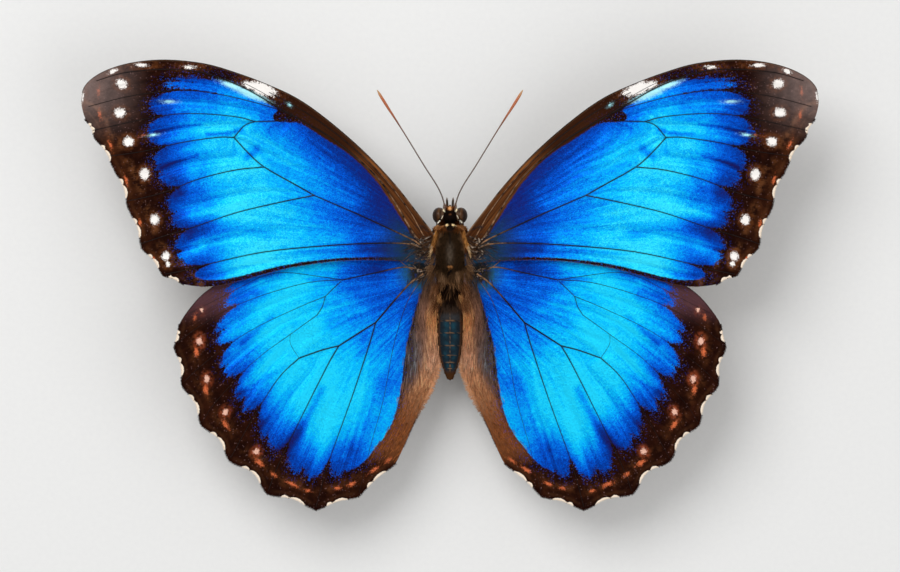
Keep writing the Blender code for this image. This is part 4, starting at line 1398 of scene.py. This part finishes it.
def skin_finish(name):
    """Hide under the coat, with the lie of short hair in its relief."""
    f = Finish(name)
    mottle = f.noise(2.0, 4.0)
    combed = f.node("ShaderNodeMapping", values={"Vector": f.place, "Scale": (1.0, 0.22, 1.0)})
    strands = f.noise(11.0 / MM, 2.0, combed)
    shade = (0.75 - mottle * 0.5 - strands * 0.35).most(0.0)
    return f.done(
        strands + mottle * 0.3, 0.06,
        base_color=f.mix(shade, f.attribute("hue", "Color"), (0.004, 0.002, 0.002)),
        roughness=0.7 + (strands - 0.5) * 0.25,
        specular_ior_level=0.02,
    )


def shell_finish(name, dark, pale, rough=0.38, per_mm=1.6, low=0.32):
    """Horny cuticle: two tones with fine pits and a soft gloss."""
    f = Finish(name)
    cloud = f.noise(per_mm, 4.0)
    return f.done(
        f.grains(14.0, output="Distance") + cloud, 0.015,
        base_color=f.mix(((cloud - low) * 2.2).held(), dark, pale),
        roughness=rough + (cloud - 0.5) * 0.3,
        specular_ior_level=0.25,
    )


def eye_finish():
    """Faceted, glossy brown eye with a paler rim and the dark flecks of its facets."""
    f = Finish("compound_eye")
    rim, lid = f.attributes("rim lid")
    cloud = f.noise(1.3, 3.0)
    ball = f.ramp(
        rim + (cloud - 0.5) * 0.3,
        (0.0, (0.05, 0.024, 0.016)), (0.3, (0.022, 0.008, 0.004)), (0.62, (0.013, 0.004, 0.001)),
        (0.82, (0.055, 0.019, 0.004)), (0.92, (0.09, 0.036, 0.008)), (1.0, (0.03, 0.012, 0.004)),
    )
    return f.done(
        f.grains(17.0, output="Distance"), 0.012,
        base_color=f.mix(lid, ball, (0.13, 0.075, 0.045)),
        roughness=0.34 + cloud * 0.14,
        coat_weight=0.14 - lid * 0.12,
        specular_ior_level=0.12,
        coat_roughness=0.16,
    )


def antenna_finish():
    """Ringed grey-brown shaft that reddens into the club, with a pale tip."""
    f = Finish("feeler")
    run, ring = f.attributes("run ring")
    mottle = f.noise(3.0, 2.0)
    colour = f.ramp(
        run, (0.0, (0.12, 0.055, 0.028)), (0.1, (0.09, 0.058, 0.046)), (0.55, (0.1, 0.05, 0.032)),
        (0.72, (0.18, 0.05, 0.018)), (0.8, (0.42, 0.1, 0.024)), (0.93, (0.55, 0.13, 0.03)),
        (1.0, (0.6, 0.36, 0.15)),
    )
    colour = f.layered(
        colour,
        ((1.0 - ring) * 0.55, (0.012, 0.008, 0.007)),
        ((ring - 0.8).most(0.0) * 2.2 * mottle, (0.4, 0.3, 0.22)),
    )
    return f.done(mottle + ring * 0.6, 0.012, base_color=colour, roughness=0.5 + (mottle - 0.5) * 0.3)


def vein_finish():
    """Dark veins that turn tan where they gather at the wing's root, the tan partly their own colour and
    partly painted glints.
    """
    f = Finish("vein")
    cloud = f.noise(1.0, 3.0)
    colour = f.layered(
        (0.004, 0.003, 0.003),
        ((cloud - 0.35) * 1.4, (0.03, 0.014, 0.009)),
        (f.attribute("root") * (cloud * 3.0 - 1.0).held(), (0.35, 0.18, 0.088)),
    )
    roughness = 0.5 + (cloud - 0.5) * 0.3
    return f.done(cloud, 0.02, base_color=colour, roughness=roughness, specular_ior_level=0.12)


# ---------------------------------------------------------------- feelers, eyes, tongue, legs

ANTENNA = [
    (0.95, 12.4, 10.9), (1.05, 13.9, 11.5), (2, 16.2, 12.2), (4.3, 19.8, 13.2), (7, 24.2, 14.3),
    (9.08, 27.48, 15.12), (10.2, 29.2, 15.5), (11.2, 30.8, 15.9), (11.85, 31.9, 16.15),
]
FEELER_SIDES = 10
EYE_SIDES = 48
TONGUE_STEPS = 260
LEGS = {
    "foreleg": [(1.3, 8.2, 7.4), (2.1, 10, 5.9), (1.6, 11.6, 6.1), (1.3, 12.3, 6.4)],
    "midleg": [(1.2, 5.6, 7), (7.6, 7.2, 6.9), (12.2, 8.2, 1.3), (14.2, 8.7, 0.24), (17.2, 9.5, 0.22)],
    "hindleg": [
        (1.2, 2.2, 7), (6.4, -2.2, 7.3), (10, -6.4, 1.4), (11.2, -8.3, 0.24), (12.9, -10.9, 0.22),
    ],
}


def antenna(side):
    """Shaft and club as one run of rings, with the share along it and round each ring."""
    path = evenly(curve_through(ANTENNA), 0.055)
    share = np.linspace(0, 1, len(path))
    radius = np.interp(
        share,
        (0, 0.012, 0.03, 0.05, 0.4, 0.68, 0.78, 0.9, 0.965, 1.0),
        (0.21, 0.24, 0.2, 0.115, 0.1, 0.105, 0.17, 0.245, 0.225, 0.08),
    )
    ring = np.abs(np.sin(share * 24.0 / 0.33 * pi)) ** 0.5  # a ring each 0.33 mm
    path = path * (side, 1, 1) + (0, Y_SHIFT, 0)
    mesh = joined("antenna", [tube(path, radius * (0.9 + 0.12 * ring), FEELER_SIDES)])
    run, ring = np.repeat((share, ring), FEELER_SIDES, axis=1)
    set_fields(mesh, {"run": np.r_[run, 0, 1], "ring": np.r_[ring, 1, 1]})
    return mesh


def eyeball(side):
    """An eye with its socket ring, and the share out from its middle to its rim."""
    turn = np.arange(EYE_SIDES) * tau / EYE_SIDES
    middle, radii = EYE_PLACE + (0, Y_SHIFT, 0), EYE_RADII * 0.985
    tilts = np.linspace(0.05, pi - 0.05, 30)
    rings = []
    for tilt in tilts:
        ring = np.c_[np.full(EYE_SIDES, cos(tilt)), sin(tilt) * np.cos(turn), sin(tilt) * np.sin(turn)]
        rings.append(middle + ring * radii)
    pole = (radii[0], 0, 0)
    mesh = joined("eye", [stitched(rings, middle + pole, middle - pole)], side)
    rim = np.repeat(np.minimum(1.0, tilts / 1.75), EYE_SIDES)
    lid = np.repeat(smoothstep(1.85, 2.1, tilts), EYE_SIDES)
    set_fields(mesh, {"rim": np.r_[rim, 0, 1], "lid": np.r_[lid, 0, 1]})
    return mesh


def tongue():
    """The tongue rolled up under the face like a watch spring, with fine cross ribs."""
    share = np.linspace(0, 1, TONGUE_STEPS)
    turn = 0.3 * pi + share * 1.7 * tau
    radius = 1.3 - share
    y = 12.55 + radius * np.cos(turn) + Y_SHIFT
    path = np.c_[np.zeros(TONGUE_STEPS), y, 6.0 + radius * np.sin(turn)]
    thick = (0.21 - 0.12 * share) * (1 + 0.05 * np.cos(share * TONGUE_STEPS * pi / 2))
    return joined("tongue", [tube(path, thick, squash=0.8)])


def limb_of(line, profile):
    """Shares along a line, with the radii of a profile spread evenly over it."""
    share = np.linspace(0, 1, len(line))
    return share, np.interp(share, np.linspace(0, 1, len(profile)), profile)


def leg(path, side):
    """Segments with swollen ends and claws; the sole is flat on the floor."""
    path = np.array(path, float) + (0, Y_SHIFT, 0)
    shapes = []
    segments = [
        (np.linspace(path[0], path[1], 36), (0.5, 0.52, 0.4, 0.26, 0.2), 1),
        (np.linspace(path[1], path[2], 36), (0.2, 0.27, 0.22, 0.17, 0.2), 1),
        (evenly(curve_through(path[2:], 12), 0.1), (0.19, 0.2, 0.19, 0.18, 0.16), 5),
    ]
    for line, profile, parts in segments:
        share, radius = limb_of(line, profile)
        radius = radius * (1 - 0.22 * np.abs(np.cos(share * parts * pi)) ** 8)
        if parts > 1:
            line[:, 2] = np.where(share > 0.25, radius + 0.003, line[:, 2])
        shapes.append(tube(line, radius))
    end = path[4]
    ahead = unit(end - path[3])
    for turn in (-1, 1):
        aside = np.array((-ahead[1], ahead[0], 0.0)) * turn
        hook = [end + (0, 0, -0.04), end + ahead * 0.22 + aside * 0.1 + (0, 0, -0.02),
                end + ahead * 0.4 + aside * 0.17 + (0, 0, -0.15)]
        line = evenly(curve_through(hook), 0.05)
        shapes.append(tube(line, np.linspace(0.07, 0.02, len(line)), around=8))
    return joined("leg", shapes, side)


def folded_leg(path, side):
    """The short front leg of this family, held up against the chest."""
    line = evenly(curve_through(np.array(path, float) + (0, Y_SHIFT, 0)), 0.12)
    share = np.linspace(0, 1, len(line))
    radius = np.interp(share, (0, 0.25, 0.5, 0.55, 0.8, 1), (0.34, 0.3, 0.2, 0.24, 0.2, 0.12))
    return joined("leg", [tube(line, radius)], side)


def spines(name, path, side):
    """Roots of the spines along shin and foot, with the way each one points."""
    path = np.array(path, float) + (0, Y_SHIFT, 0)
    roots, lies = [], []
    for run, radius, count in ((path[1:3], 0.2, 40), (path[2:], 0.15, 44)):
        line = evenly(curve_through(run, 12), 0.05)
        ahead = unit(np.gradient(line, axis=0))
        for i, share in enumerate(np.linspace(0.06, 0.97, count)):
            at = int(share * (len(line) - 1))
            first = unit(np.cross(ahead[at], (0.0, 0.0, 1.0)))
            off = first * cos(i * 2.4) + np.cross(first, ahead[at]) * sin(i * 2.4)
            if line[at][2] < 0.6:
                off[2] = abs(off[2])
            roots.append(line[at] + off * radius)
            lies.append(off * 0.8 + ahead[at])
    count, flip = len(roots), (side, 1, 1)
    hue = np.tile((0.05, 0.026, 0.014), (count, 1))
    flat = np.c_[np.linspace(0.02, 0.98, count), np.full(count, 0.5)]
    roots, lies = np.array(roots) * flip, np.array(lies) * flip
    return bristle_bed(name, roots, hue, np.full(count, 0.42), lies, flat)


# Rods and plates of the wing joints: thickness, then points along each
JOINT_RODS = [
    (0.09, [(3.1, 8.2, 12.9), (4.1, 7.7, 12.75), (5.5, 7.1, 12.6)]),
    (0.13, [(3.2, 6.9, 12.8), (3.7, 6.3, 12.9), (4.3, 6.5, 12.75)]),
    (0.15, [(3.5, 5.9, 12.7), (4, 5.5, 12.8), (4.6, 5.7, 12.7)]),
    (0.08, [(4.2, 7.2, 12.75), (5.2, 7.6, 12.7), (6.2, 8.4, 12.65)]),
    (0.07, [(4.6, 6.2, 12.7), (5.9, 6.9, 12.65), (7.4, 7.1, 12.6)]),
    (0.07, [(3.5, 3.3, 11.8), (4, 4, 12.1), (4.8, 4.7, 12.5), (5, 5.2, 12.6)]),
    (0.17, [(3.3, 3, 11.6), (3.65, 3.1, 11.75), (4, 3, 11.6)]),
    (0.09, [(3.3, 2.4, 11.5), (4.1, 2.5, 11.6), (5.2, 2.3, 11.5)]),
    (0.07, [(3.5, 2, 11.45), (4.4, 1.6, 11.5), (5.6, 0.9, 11.45)]),
    (0.07, [(3.3, 4.6, 12.4), (4.6, 4.3, 12.5), (6.2, 4.7, 12.5)]),
    (0.06, [(5.2, 2.5, 11.6), (6.1, 3.4, 11.6), (7.2, 3.4, 11.6)]),
    (0.1, [(4.6, 7.9, 12.8), (4.9, 7.4, 12.8), (4.7, 6.9, 12.75)]),
    (0.11, [(5.1, 5.9, 12.7), (5.4, 5.4, 12.7), (5, 5, 12.65)]),
    (0.12, [(4.9, 2.9, 11.6), (5.3, 2.5, 11.65), (5.1, 2, 11.55)]),
    (0.06, [(3, 5.2, 12.8), (4.4, 4.9, 12.75), (5.6, 5.6, 12.65)]),
    (0.05, [(3.2, 7.4, 13), (4.6, 6.9, 12.9), (5.2, 6.2, 12.7)]),
]
# Tufts as (path, scatter, count a side, colour, length, the way they point)
WHITE_TUFTS = [
    (
        [(1.12, 11.62, 11.1), (1.24, 11.4, 11.15), (1.4, 11.12, 11.15)], 0.015, 34, (0.95, 0.82, 0.64),
        0.16, (0.45, -1, 0.1),
    ),
    (
        [(1.64, 10.78, 11.15), (1.78, 10.6, 11), (1.92, 10.46, 10.9)], 0.055, 110, (0.95, 0.88, 0.74),
        0.24, (0.5, -1, 0.1),
    ),
    ([(0.98, 12.2, 11.15), (1.08, 12.5, 11.15)], 0.05, 40, (0.9, 0.76, 0.55), 0.26, (0.2, 1, 0.3)),
    ([(0, 12.55, 10.9), (0, 12.85, 10.6)], 0.12, 70, (0.95, 0.52, 0.22), 0.2, (0.1, 1, 0.6)),
    ([(0.36, 10.08, 11.8), (0.6, 10.04, 11.75)], 0.06, 60, (0.95, 0.68, 0.36), 0.28, (0.1, -0.9, 0.25)),
]
BROWN_TUFTS = [
    ([(0.15, 12.7, 10.6), (0.5, 12.8, 10.2)], 0.14, 110, (0.45, 0.14, 0.03), 0.3, (0.2, 1, 0.5)),
    (
        [(1.3, 11.9, 10.9), (1.55, 11.2, 11.1), (1.8, 10.7, 10.9)], 0.06, 60, (0.005, 0.003, 0.002),
        0.34, (0.6, -0.7, 0.15),
    ),
    ([(0.75, 12.8, 9.3), (0.85, 13.3, 9.2)], 0.08, 50, (0.3, 0.11, 0.035), 0.5, (0.2, 1, 0.4)),
    ([(0.9, 10.25, 11.2), (1.7, 10.1, 11)], 0.12, 100, (0.07, 0.02, 0.004), 0.6, (0.35, 0.6, 0.6)),
    # the lighter tuft on the roll of the collar is painted highlight
    ([(1.75, 9.95, 11.15), (2.15, 9.75, 10.9)], 0.09, 90, (0.6, 0.27, 0.1), 0.5, (0.5, -0.5, 0.3)),
    ([(0.2, 10.5, 11.3), (1.3, 10.4, 11.2)], 0.14, 90, (0.006, 0.003, 0.002), 0.5, (0.1, 0.6, 0.6)),
    (
        [(2.2, 8.9, 12), (2.55, 7.6, 12.45), (2.8, 6.6, 12.65)], 0.1, 200, (0.46, 0.19, 0.05), 0.8,
        (0.25, -1, 0.18),
    ),
    # the lighter tufts on the tegula's rear part are painted highlight
    (
        [(2.75, 7, 12.55), (2.95, 6.2, 12.7), (3.3, 5.2, 12.5)], 0.07, 110, (0.82, 0.48, 0.23), 0.7,
        (0.35, -1, 0.18),
    ),
    ([(2.9, 6.7, 12.75), (3.15, 5.9, 12.7)], 0.06, 60, (0.95, 0.7, 0.45), 0.5, (0.35, -1, 0.1)),
    ([(2.3, 9.75, 10.7), (2.65, 9.35, 10.7)], 0.07, 90, (0.26, 0.11, 0.04), 0.5, (0.35, -1, 0.2)),
    (
        [(2.5, 9.3, 10.7), (2.8, 8.9, 11.2), (3, 8.4, 11.7)], 0.1, 150, (0.05, 0.018, 0.008), 0.55,
        (0.5, -0.8, 0.1),
    ),
    ([(1.65, -1.3, 10.8), (1.9, -2.1, 10.6)], 0.17, 80, (0.6, 0.27, 0.1), 0.8, (0.2, -1, 0.2)),
]
ROOT_TUFTS = [
    (
        [(2.7, 5.4, 12), (2.8, 3.6, 11.8), (2.7, 1.8, 11.3)], 0.25, 170, (0.19, 0.095, 0.045), 1.5,
        (0.6, -1, 0.12),
    ),
    (
        [(2.8, 8, 12.2), (3.1, 6.6, 12.4), (3.2, 5.2, 12.3)], 0.25, 120, (0.1, 0.05, 0.027), 1.6,
        (1, -0.5, 0.15),
    ),
    ([(2.9, 4.6, 12.3), (3.1, 2.6, 11.7)], 0.25, 36, (0.42, 0.24, 0.13), 1, (1, -0.5, 0.2)),
    (
        [(2.2, 0.6, 11), (2.2, -1.4, 10.6), (2, -3.2, 10.2)], 0.25, 160, (0.2, 0.08, 0.032), 1.9,
        (0.42, -1, 0.1),
    ),
]


def tuft_roots(name, tufts):
    """Scattered points along some paths on both sides, with their tufts' fields."""
    chance = np.random.default_rng(7)
    roots, hues, lies, lengths = [], [], [], []
    for path, spread, count, hue, length, run in tufts:
        line = evenly(curve_through(path), 0.02)
        for side in SIDES.values():
            picks = line[chance.integers(0, len(line), count)]
            picks = picks + chance.normal(0, spread, (count, 3)) * (1, 1, 0.4)
            shade = chance.uniform(0.6, 1.3, (count, 1))
            roots.append(picks * (side, 1, 1) + (0, Y_SHIFT, 0))
            lies.append(np.tile(np.array(run) * (side, 1, 1), (count, 1)))
            hues.append(np.clip(np.array(hue) * shade, 0, 0.95))
            lengths.append(chance.uniform(0.7, 1.2, count) * length)
    roots = np.vstack(roots)
    turn = 0.5 + np.arctan2(roots[:, 0], roots[:, 2] - 9.0) / tau
    flat = np.c_[turn, (roots[:, 1] + 15.4) / 30]
    return bristle_bed(name, roots, np.vstack(hues), np.concatenate(lengths), np.vstack(lies), flat)


# ---------------------------------------------------------------- building the butterfly

tubes = tube_grower()
face_coat = coat_grower("coat", True)
point_coat = coat_grower("tufts", False)
fur = fur_finish("fur")
vein_brown = vein_finish()

# wings, their veins and their fringes
fringe_white = fur_finish("fringe", 0.7, 0.1, 0.9, 0.1)
for word, wing, is_hind in (("forewing", FOREWING, False), ("hindwing", HINDWING, True)):
    sheet = membrane(wing, is_hind)
    finishes = [upper_finish(f"{word}_upper", is_hind), under_finish(f"{word}_under")]
    for side_name, side in SIDES.items():
        node = f"{word}_{side_name}"
        scales = build_wing(f"{node}_scales", side, is_hind, sheet, finishes)
        show(scales, "wing_scales", node)
        net = vein_net(f"{node}_veins", wing, side, is_hind)
        veins = tubes.grow(f"{node}_veins", net, Sides=6, Material=vein_brown)
        show(veins, "wing_scales")
        hem = fringe_roots(f"{node}_fringe", wing, side, is_hind)
        fringe = point_coat.grow(
            f"{node}_fringe", hem, Slim=0.13, Arch=0.05, Lift=0.02, Stray=0.14, Spread=0.25,
            Strands=4, Seed=5, Material=fringe_white,
        )
        show(fringe, "wing_scales")
        bed = wing_fur_bed(f"{node}_fur", side, is_hind, sheet)
        down = face_coat.grow(
            f"{node}_fur", bed, Density=9.0 / MM**2, Slim=0.022, Arch=0.1, Lift=0.1, Stray=0.12,
            Spread=0.1, Strands=3, Seed=31, Material=fur,
        )
        show(down, "body_hair")

# the body's skin, in one piece with its mouth feelers
body = add_object("body_skin", joined("body_skin", [body_shape()]), skin_finish("hide"))
line = evenly(curve_through(PALP), 0.12)
radius = np.interp(np.linspace(0, 1, len(line)), (0, 0.4, 0.8, 1), (0.18, 0.19, 0.15, 0.08))
palp = tube(line + (0, Y_SHIFT, 0), radius, around=16)
with_union(body, [add_object("palp", joined("palp", [palp], side)) for side in SIDES.values()])
places = read(body.data.vertices, "co", 3) / MM
fields = body_fields(places, read(body.data.vertex_normals, "vector", 3))
set_fields(body.data, fields)
wrap_round(body.data, places)
nodes = ["head", "collar", "thorax", "abdomen"]
nodes += [f"{part}_{side}" for part in ("tegula", "palp") for side in SIDES]
show(body, "body_hair", *nodes)

# its coat, in an upper and an under piece
is_upper = places[:, 2] > 9.6
for part, share in (("upper", is_upper), ("under", ~is_upper)):
    half = body.data.copy()
    write(half.attributes["fur"], "value", fields["fur"] * share)
    coat = face_coat.grow(
        f"body_coat_{part}", half, Density=13.0 / MM**2, Slim=0.034, Arch=0.16, Lift=0.22,
        Stray=0.24, Spread=0.12, Strands=3, Seed=11, Material=fur,
    )
    show(coat, "body_hair")

# eyes, feelers, tongue and legs
eye_look, feeler_look = eye_finish(), antenna_finish()
leg_look = shell_finish("leg_cuticle", (0.022, 0.012, 0.008), (0.13, 0.075, 0.042))
tongue_look = shell_finish("tongue_cuticle", (0.05, 0.02, 0.01), (0.19, 0.085, 0.035), per_mm=3.0)
show(add_object("tongue", tongue(), tongue_look), "leg_cuticle", "proboscis")
for side_name, side in SIDES.items():
    eye = add_object(f"eyeball_{side_name}", eyeball(side), eye_look)
    show(eye, "eye", f"eye_{side_name}")
    feeler = add_object(f"feeler_{side_name}", antenna(side), feeler_look)
    show(feeler, "leg_cuticle", f"antenna_{side_name}", f"antenna_club_{side_name}")
    for word, path in LEGS.items():
        node = f"{word}_{side_name}"
        build = folded_leg if word == "foreleg" else leg
        show(add_object(f"{node}_cuticle", build(path, side), leg_look), "leg_cuticle", node)
        if word != "foreleg":
            bristles = point_coat.grow(
                f"{node}_spines", spines(f"{node}_spines", path, side), Slim=0.07, Arch=0.05,
                Lift=0.0, Stray=0.1, Spread=0.0, Strands=1, Seed=9, Material=fur,
            )
            show(bristles, "leg_cuticle")

# the small plates and rods of the wing joints
# the pale patches on the rods are partly their tan and partly painted glints
joint_look = shell_finish("joint_plates", (0.016, 0.007, 0.004), (0.8, 0.6, 0.44), 0.3, 2.6, 0.47)
for side_name, side in SIDES.items():
    shapes = []
    for radius, path in JOINT_RODS:
        line = evenly(curve_through(path) + (0, Y_SHIFT, 0), 0.12)
        thick = radius * (0.55 + 0.6 * np.sin(np.linspace(0, 1, len(line)) * pi) ** 0.7)
        shapes.append(tube(line, thick, around=8, squash=0.7))
    joints = add_object(f"wing_joints_{side_name}", joined("joints", shapes, side), joint_look)
    show(joints, "leg_cuticle")

# white scales beside the eyes, the tuft between the feelers, and loose hair at the wing roots
# the white scales glow a little: a painted glow from their emission
pearl = fur_finish("pearl", 0.7, 0.14, 0.9, 0.2, painted_glow=0.3)
for name, tufts, slim, finish in (
    ("white_scales", WHITE_TUFTS, 0.08, pearl),
    ("brown_tufts", BROWN_TUFTS, 0.05, fur),
    ("root_hair", ROOT_TUFTS, 0.02, fur),
):
    grown = point_coat.grow(
        name, tuft_roots(name, tufts), Slim=slim, Arch=0.2, Lift=0.25, Stray=0.32, Spread=0.15,
        Strands=2, Seed=3, Material=finish,
    )
    show(grown, "body_hair")


# ---------------------------------------------------------------- floor, light and camera


def stand_in_scene(name, data, place):
    made = bpy.data.objects.new(name, data)
    made.location = place
    bpy.context.scene.collection.objects.link(made)
    return made


f = Finish("pale_card")
speck = f.noise(1.2, 3.0)
paper = f.mix(speck, (0.83, 0.83, 0.82), (0.79, 0.79, 0.785))
card = f.done(speck, 0.02, base_color=paper, roughness=0.72 + speck * 0.1)
half = 1500.0
corners = [(-half, -half, 0), (half, -half, 0), (half, half, 0), (-half, half, 0)]
floor = add_object("floor", mesh_of("floor", corners, [(0, 1, 2, 3)]), card)

for name, place, size, watts in (
    ("key", (-0.22, 0.3, 0.5), 0.45, 2.2),
    ("fill", (0.35, -0.2, 0.45), 0.6, 0.9),
):
    light = bpy.data.lights.new(name, "AREA")
    light.shape = "DISK"
    light.size = size
    light.energy = watts
    lamp = stand_in_scene(name, light, place)
    away = Vector((0.0, Y_SHIFT * MM, 0.012)) - Vector(place)
    lamp.rotation_euler = away.to_track_quat("-Z", "Y").to_euler()
world = bpy.data.worlds.new("studio")
world.use_nodes = True
backdrop = world.node_tree.nodes["Background"].inputs
backdrop["Color"].default_value = (1.0, 1.0, 1.0, 1.0)
backdrop["Strength"].default_value = 0.5
bpy.context.scene.world = world
bpy.context.scene.view_settings.view_transform = "Standard"

CAMERA_HEIGHT = 600.0
FRAMED = 147.6  # width in view at the height of the wings
lens = bpy.data.cameras.new("camera")
lens.sensor_width = 36.0
lens.lens = 36.0 * (CAMERA_HEIGHT - 12.0) / FRAMED
lens.clip_start = 0.01
lens.clip_end = 10.0
camera = stand_in_scene("camera", lens, (0.0, Y_SHIFT * MM, CAMERA_HEIGHT * MM))
bpy.context.scene.camera = camera
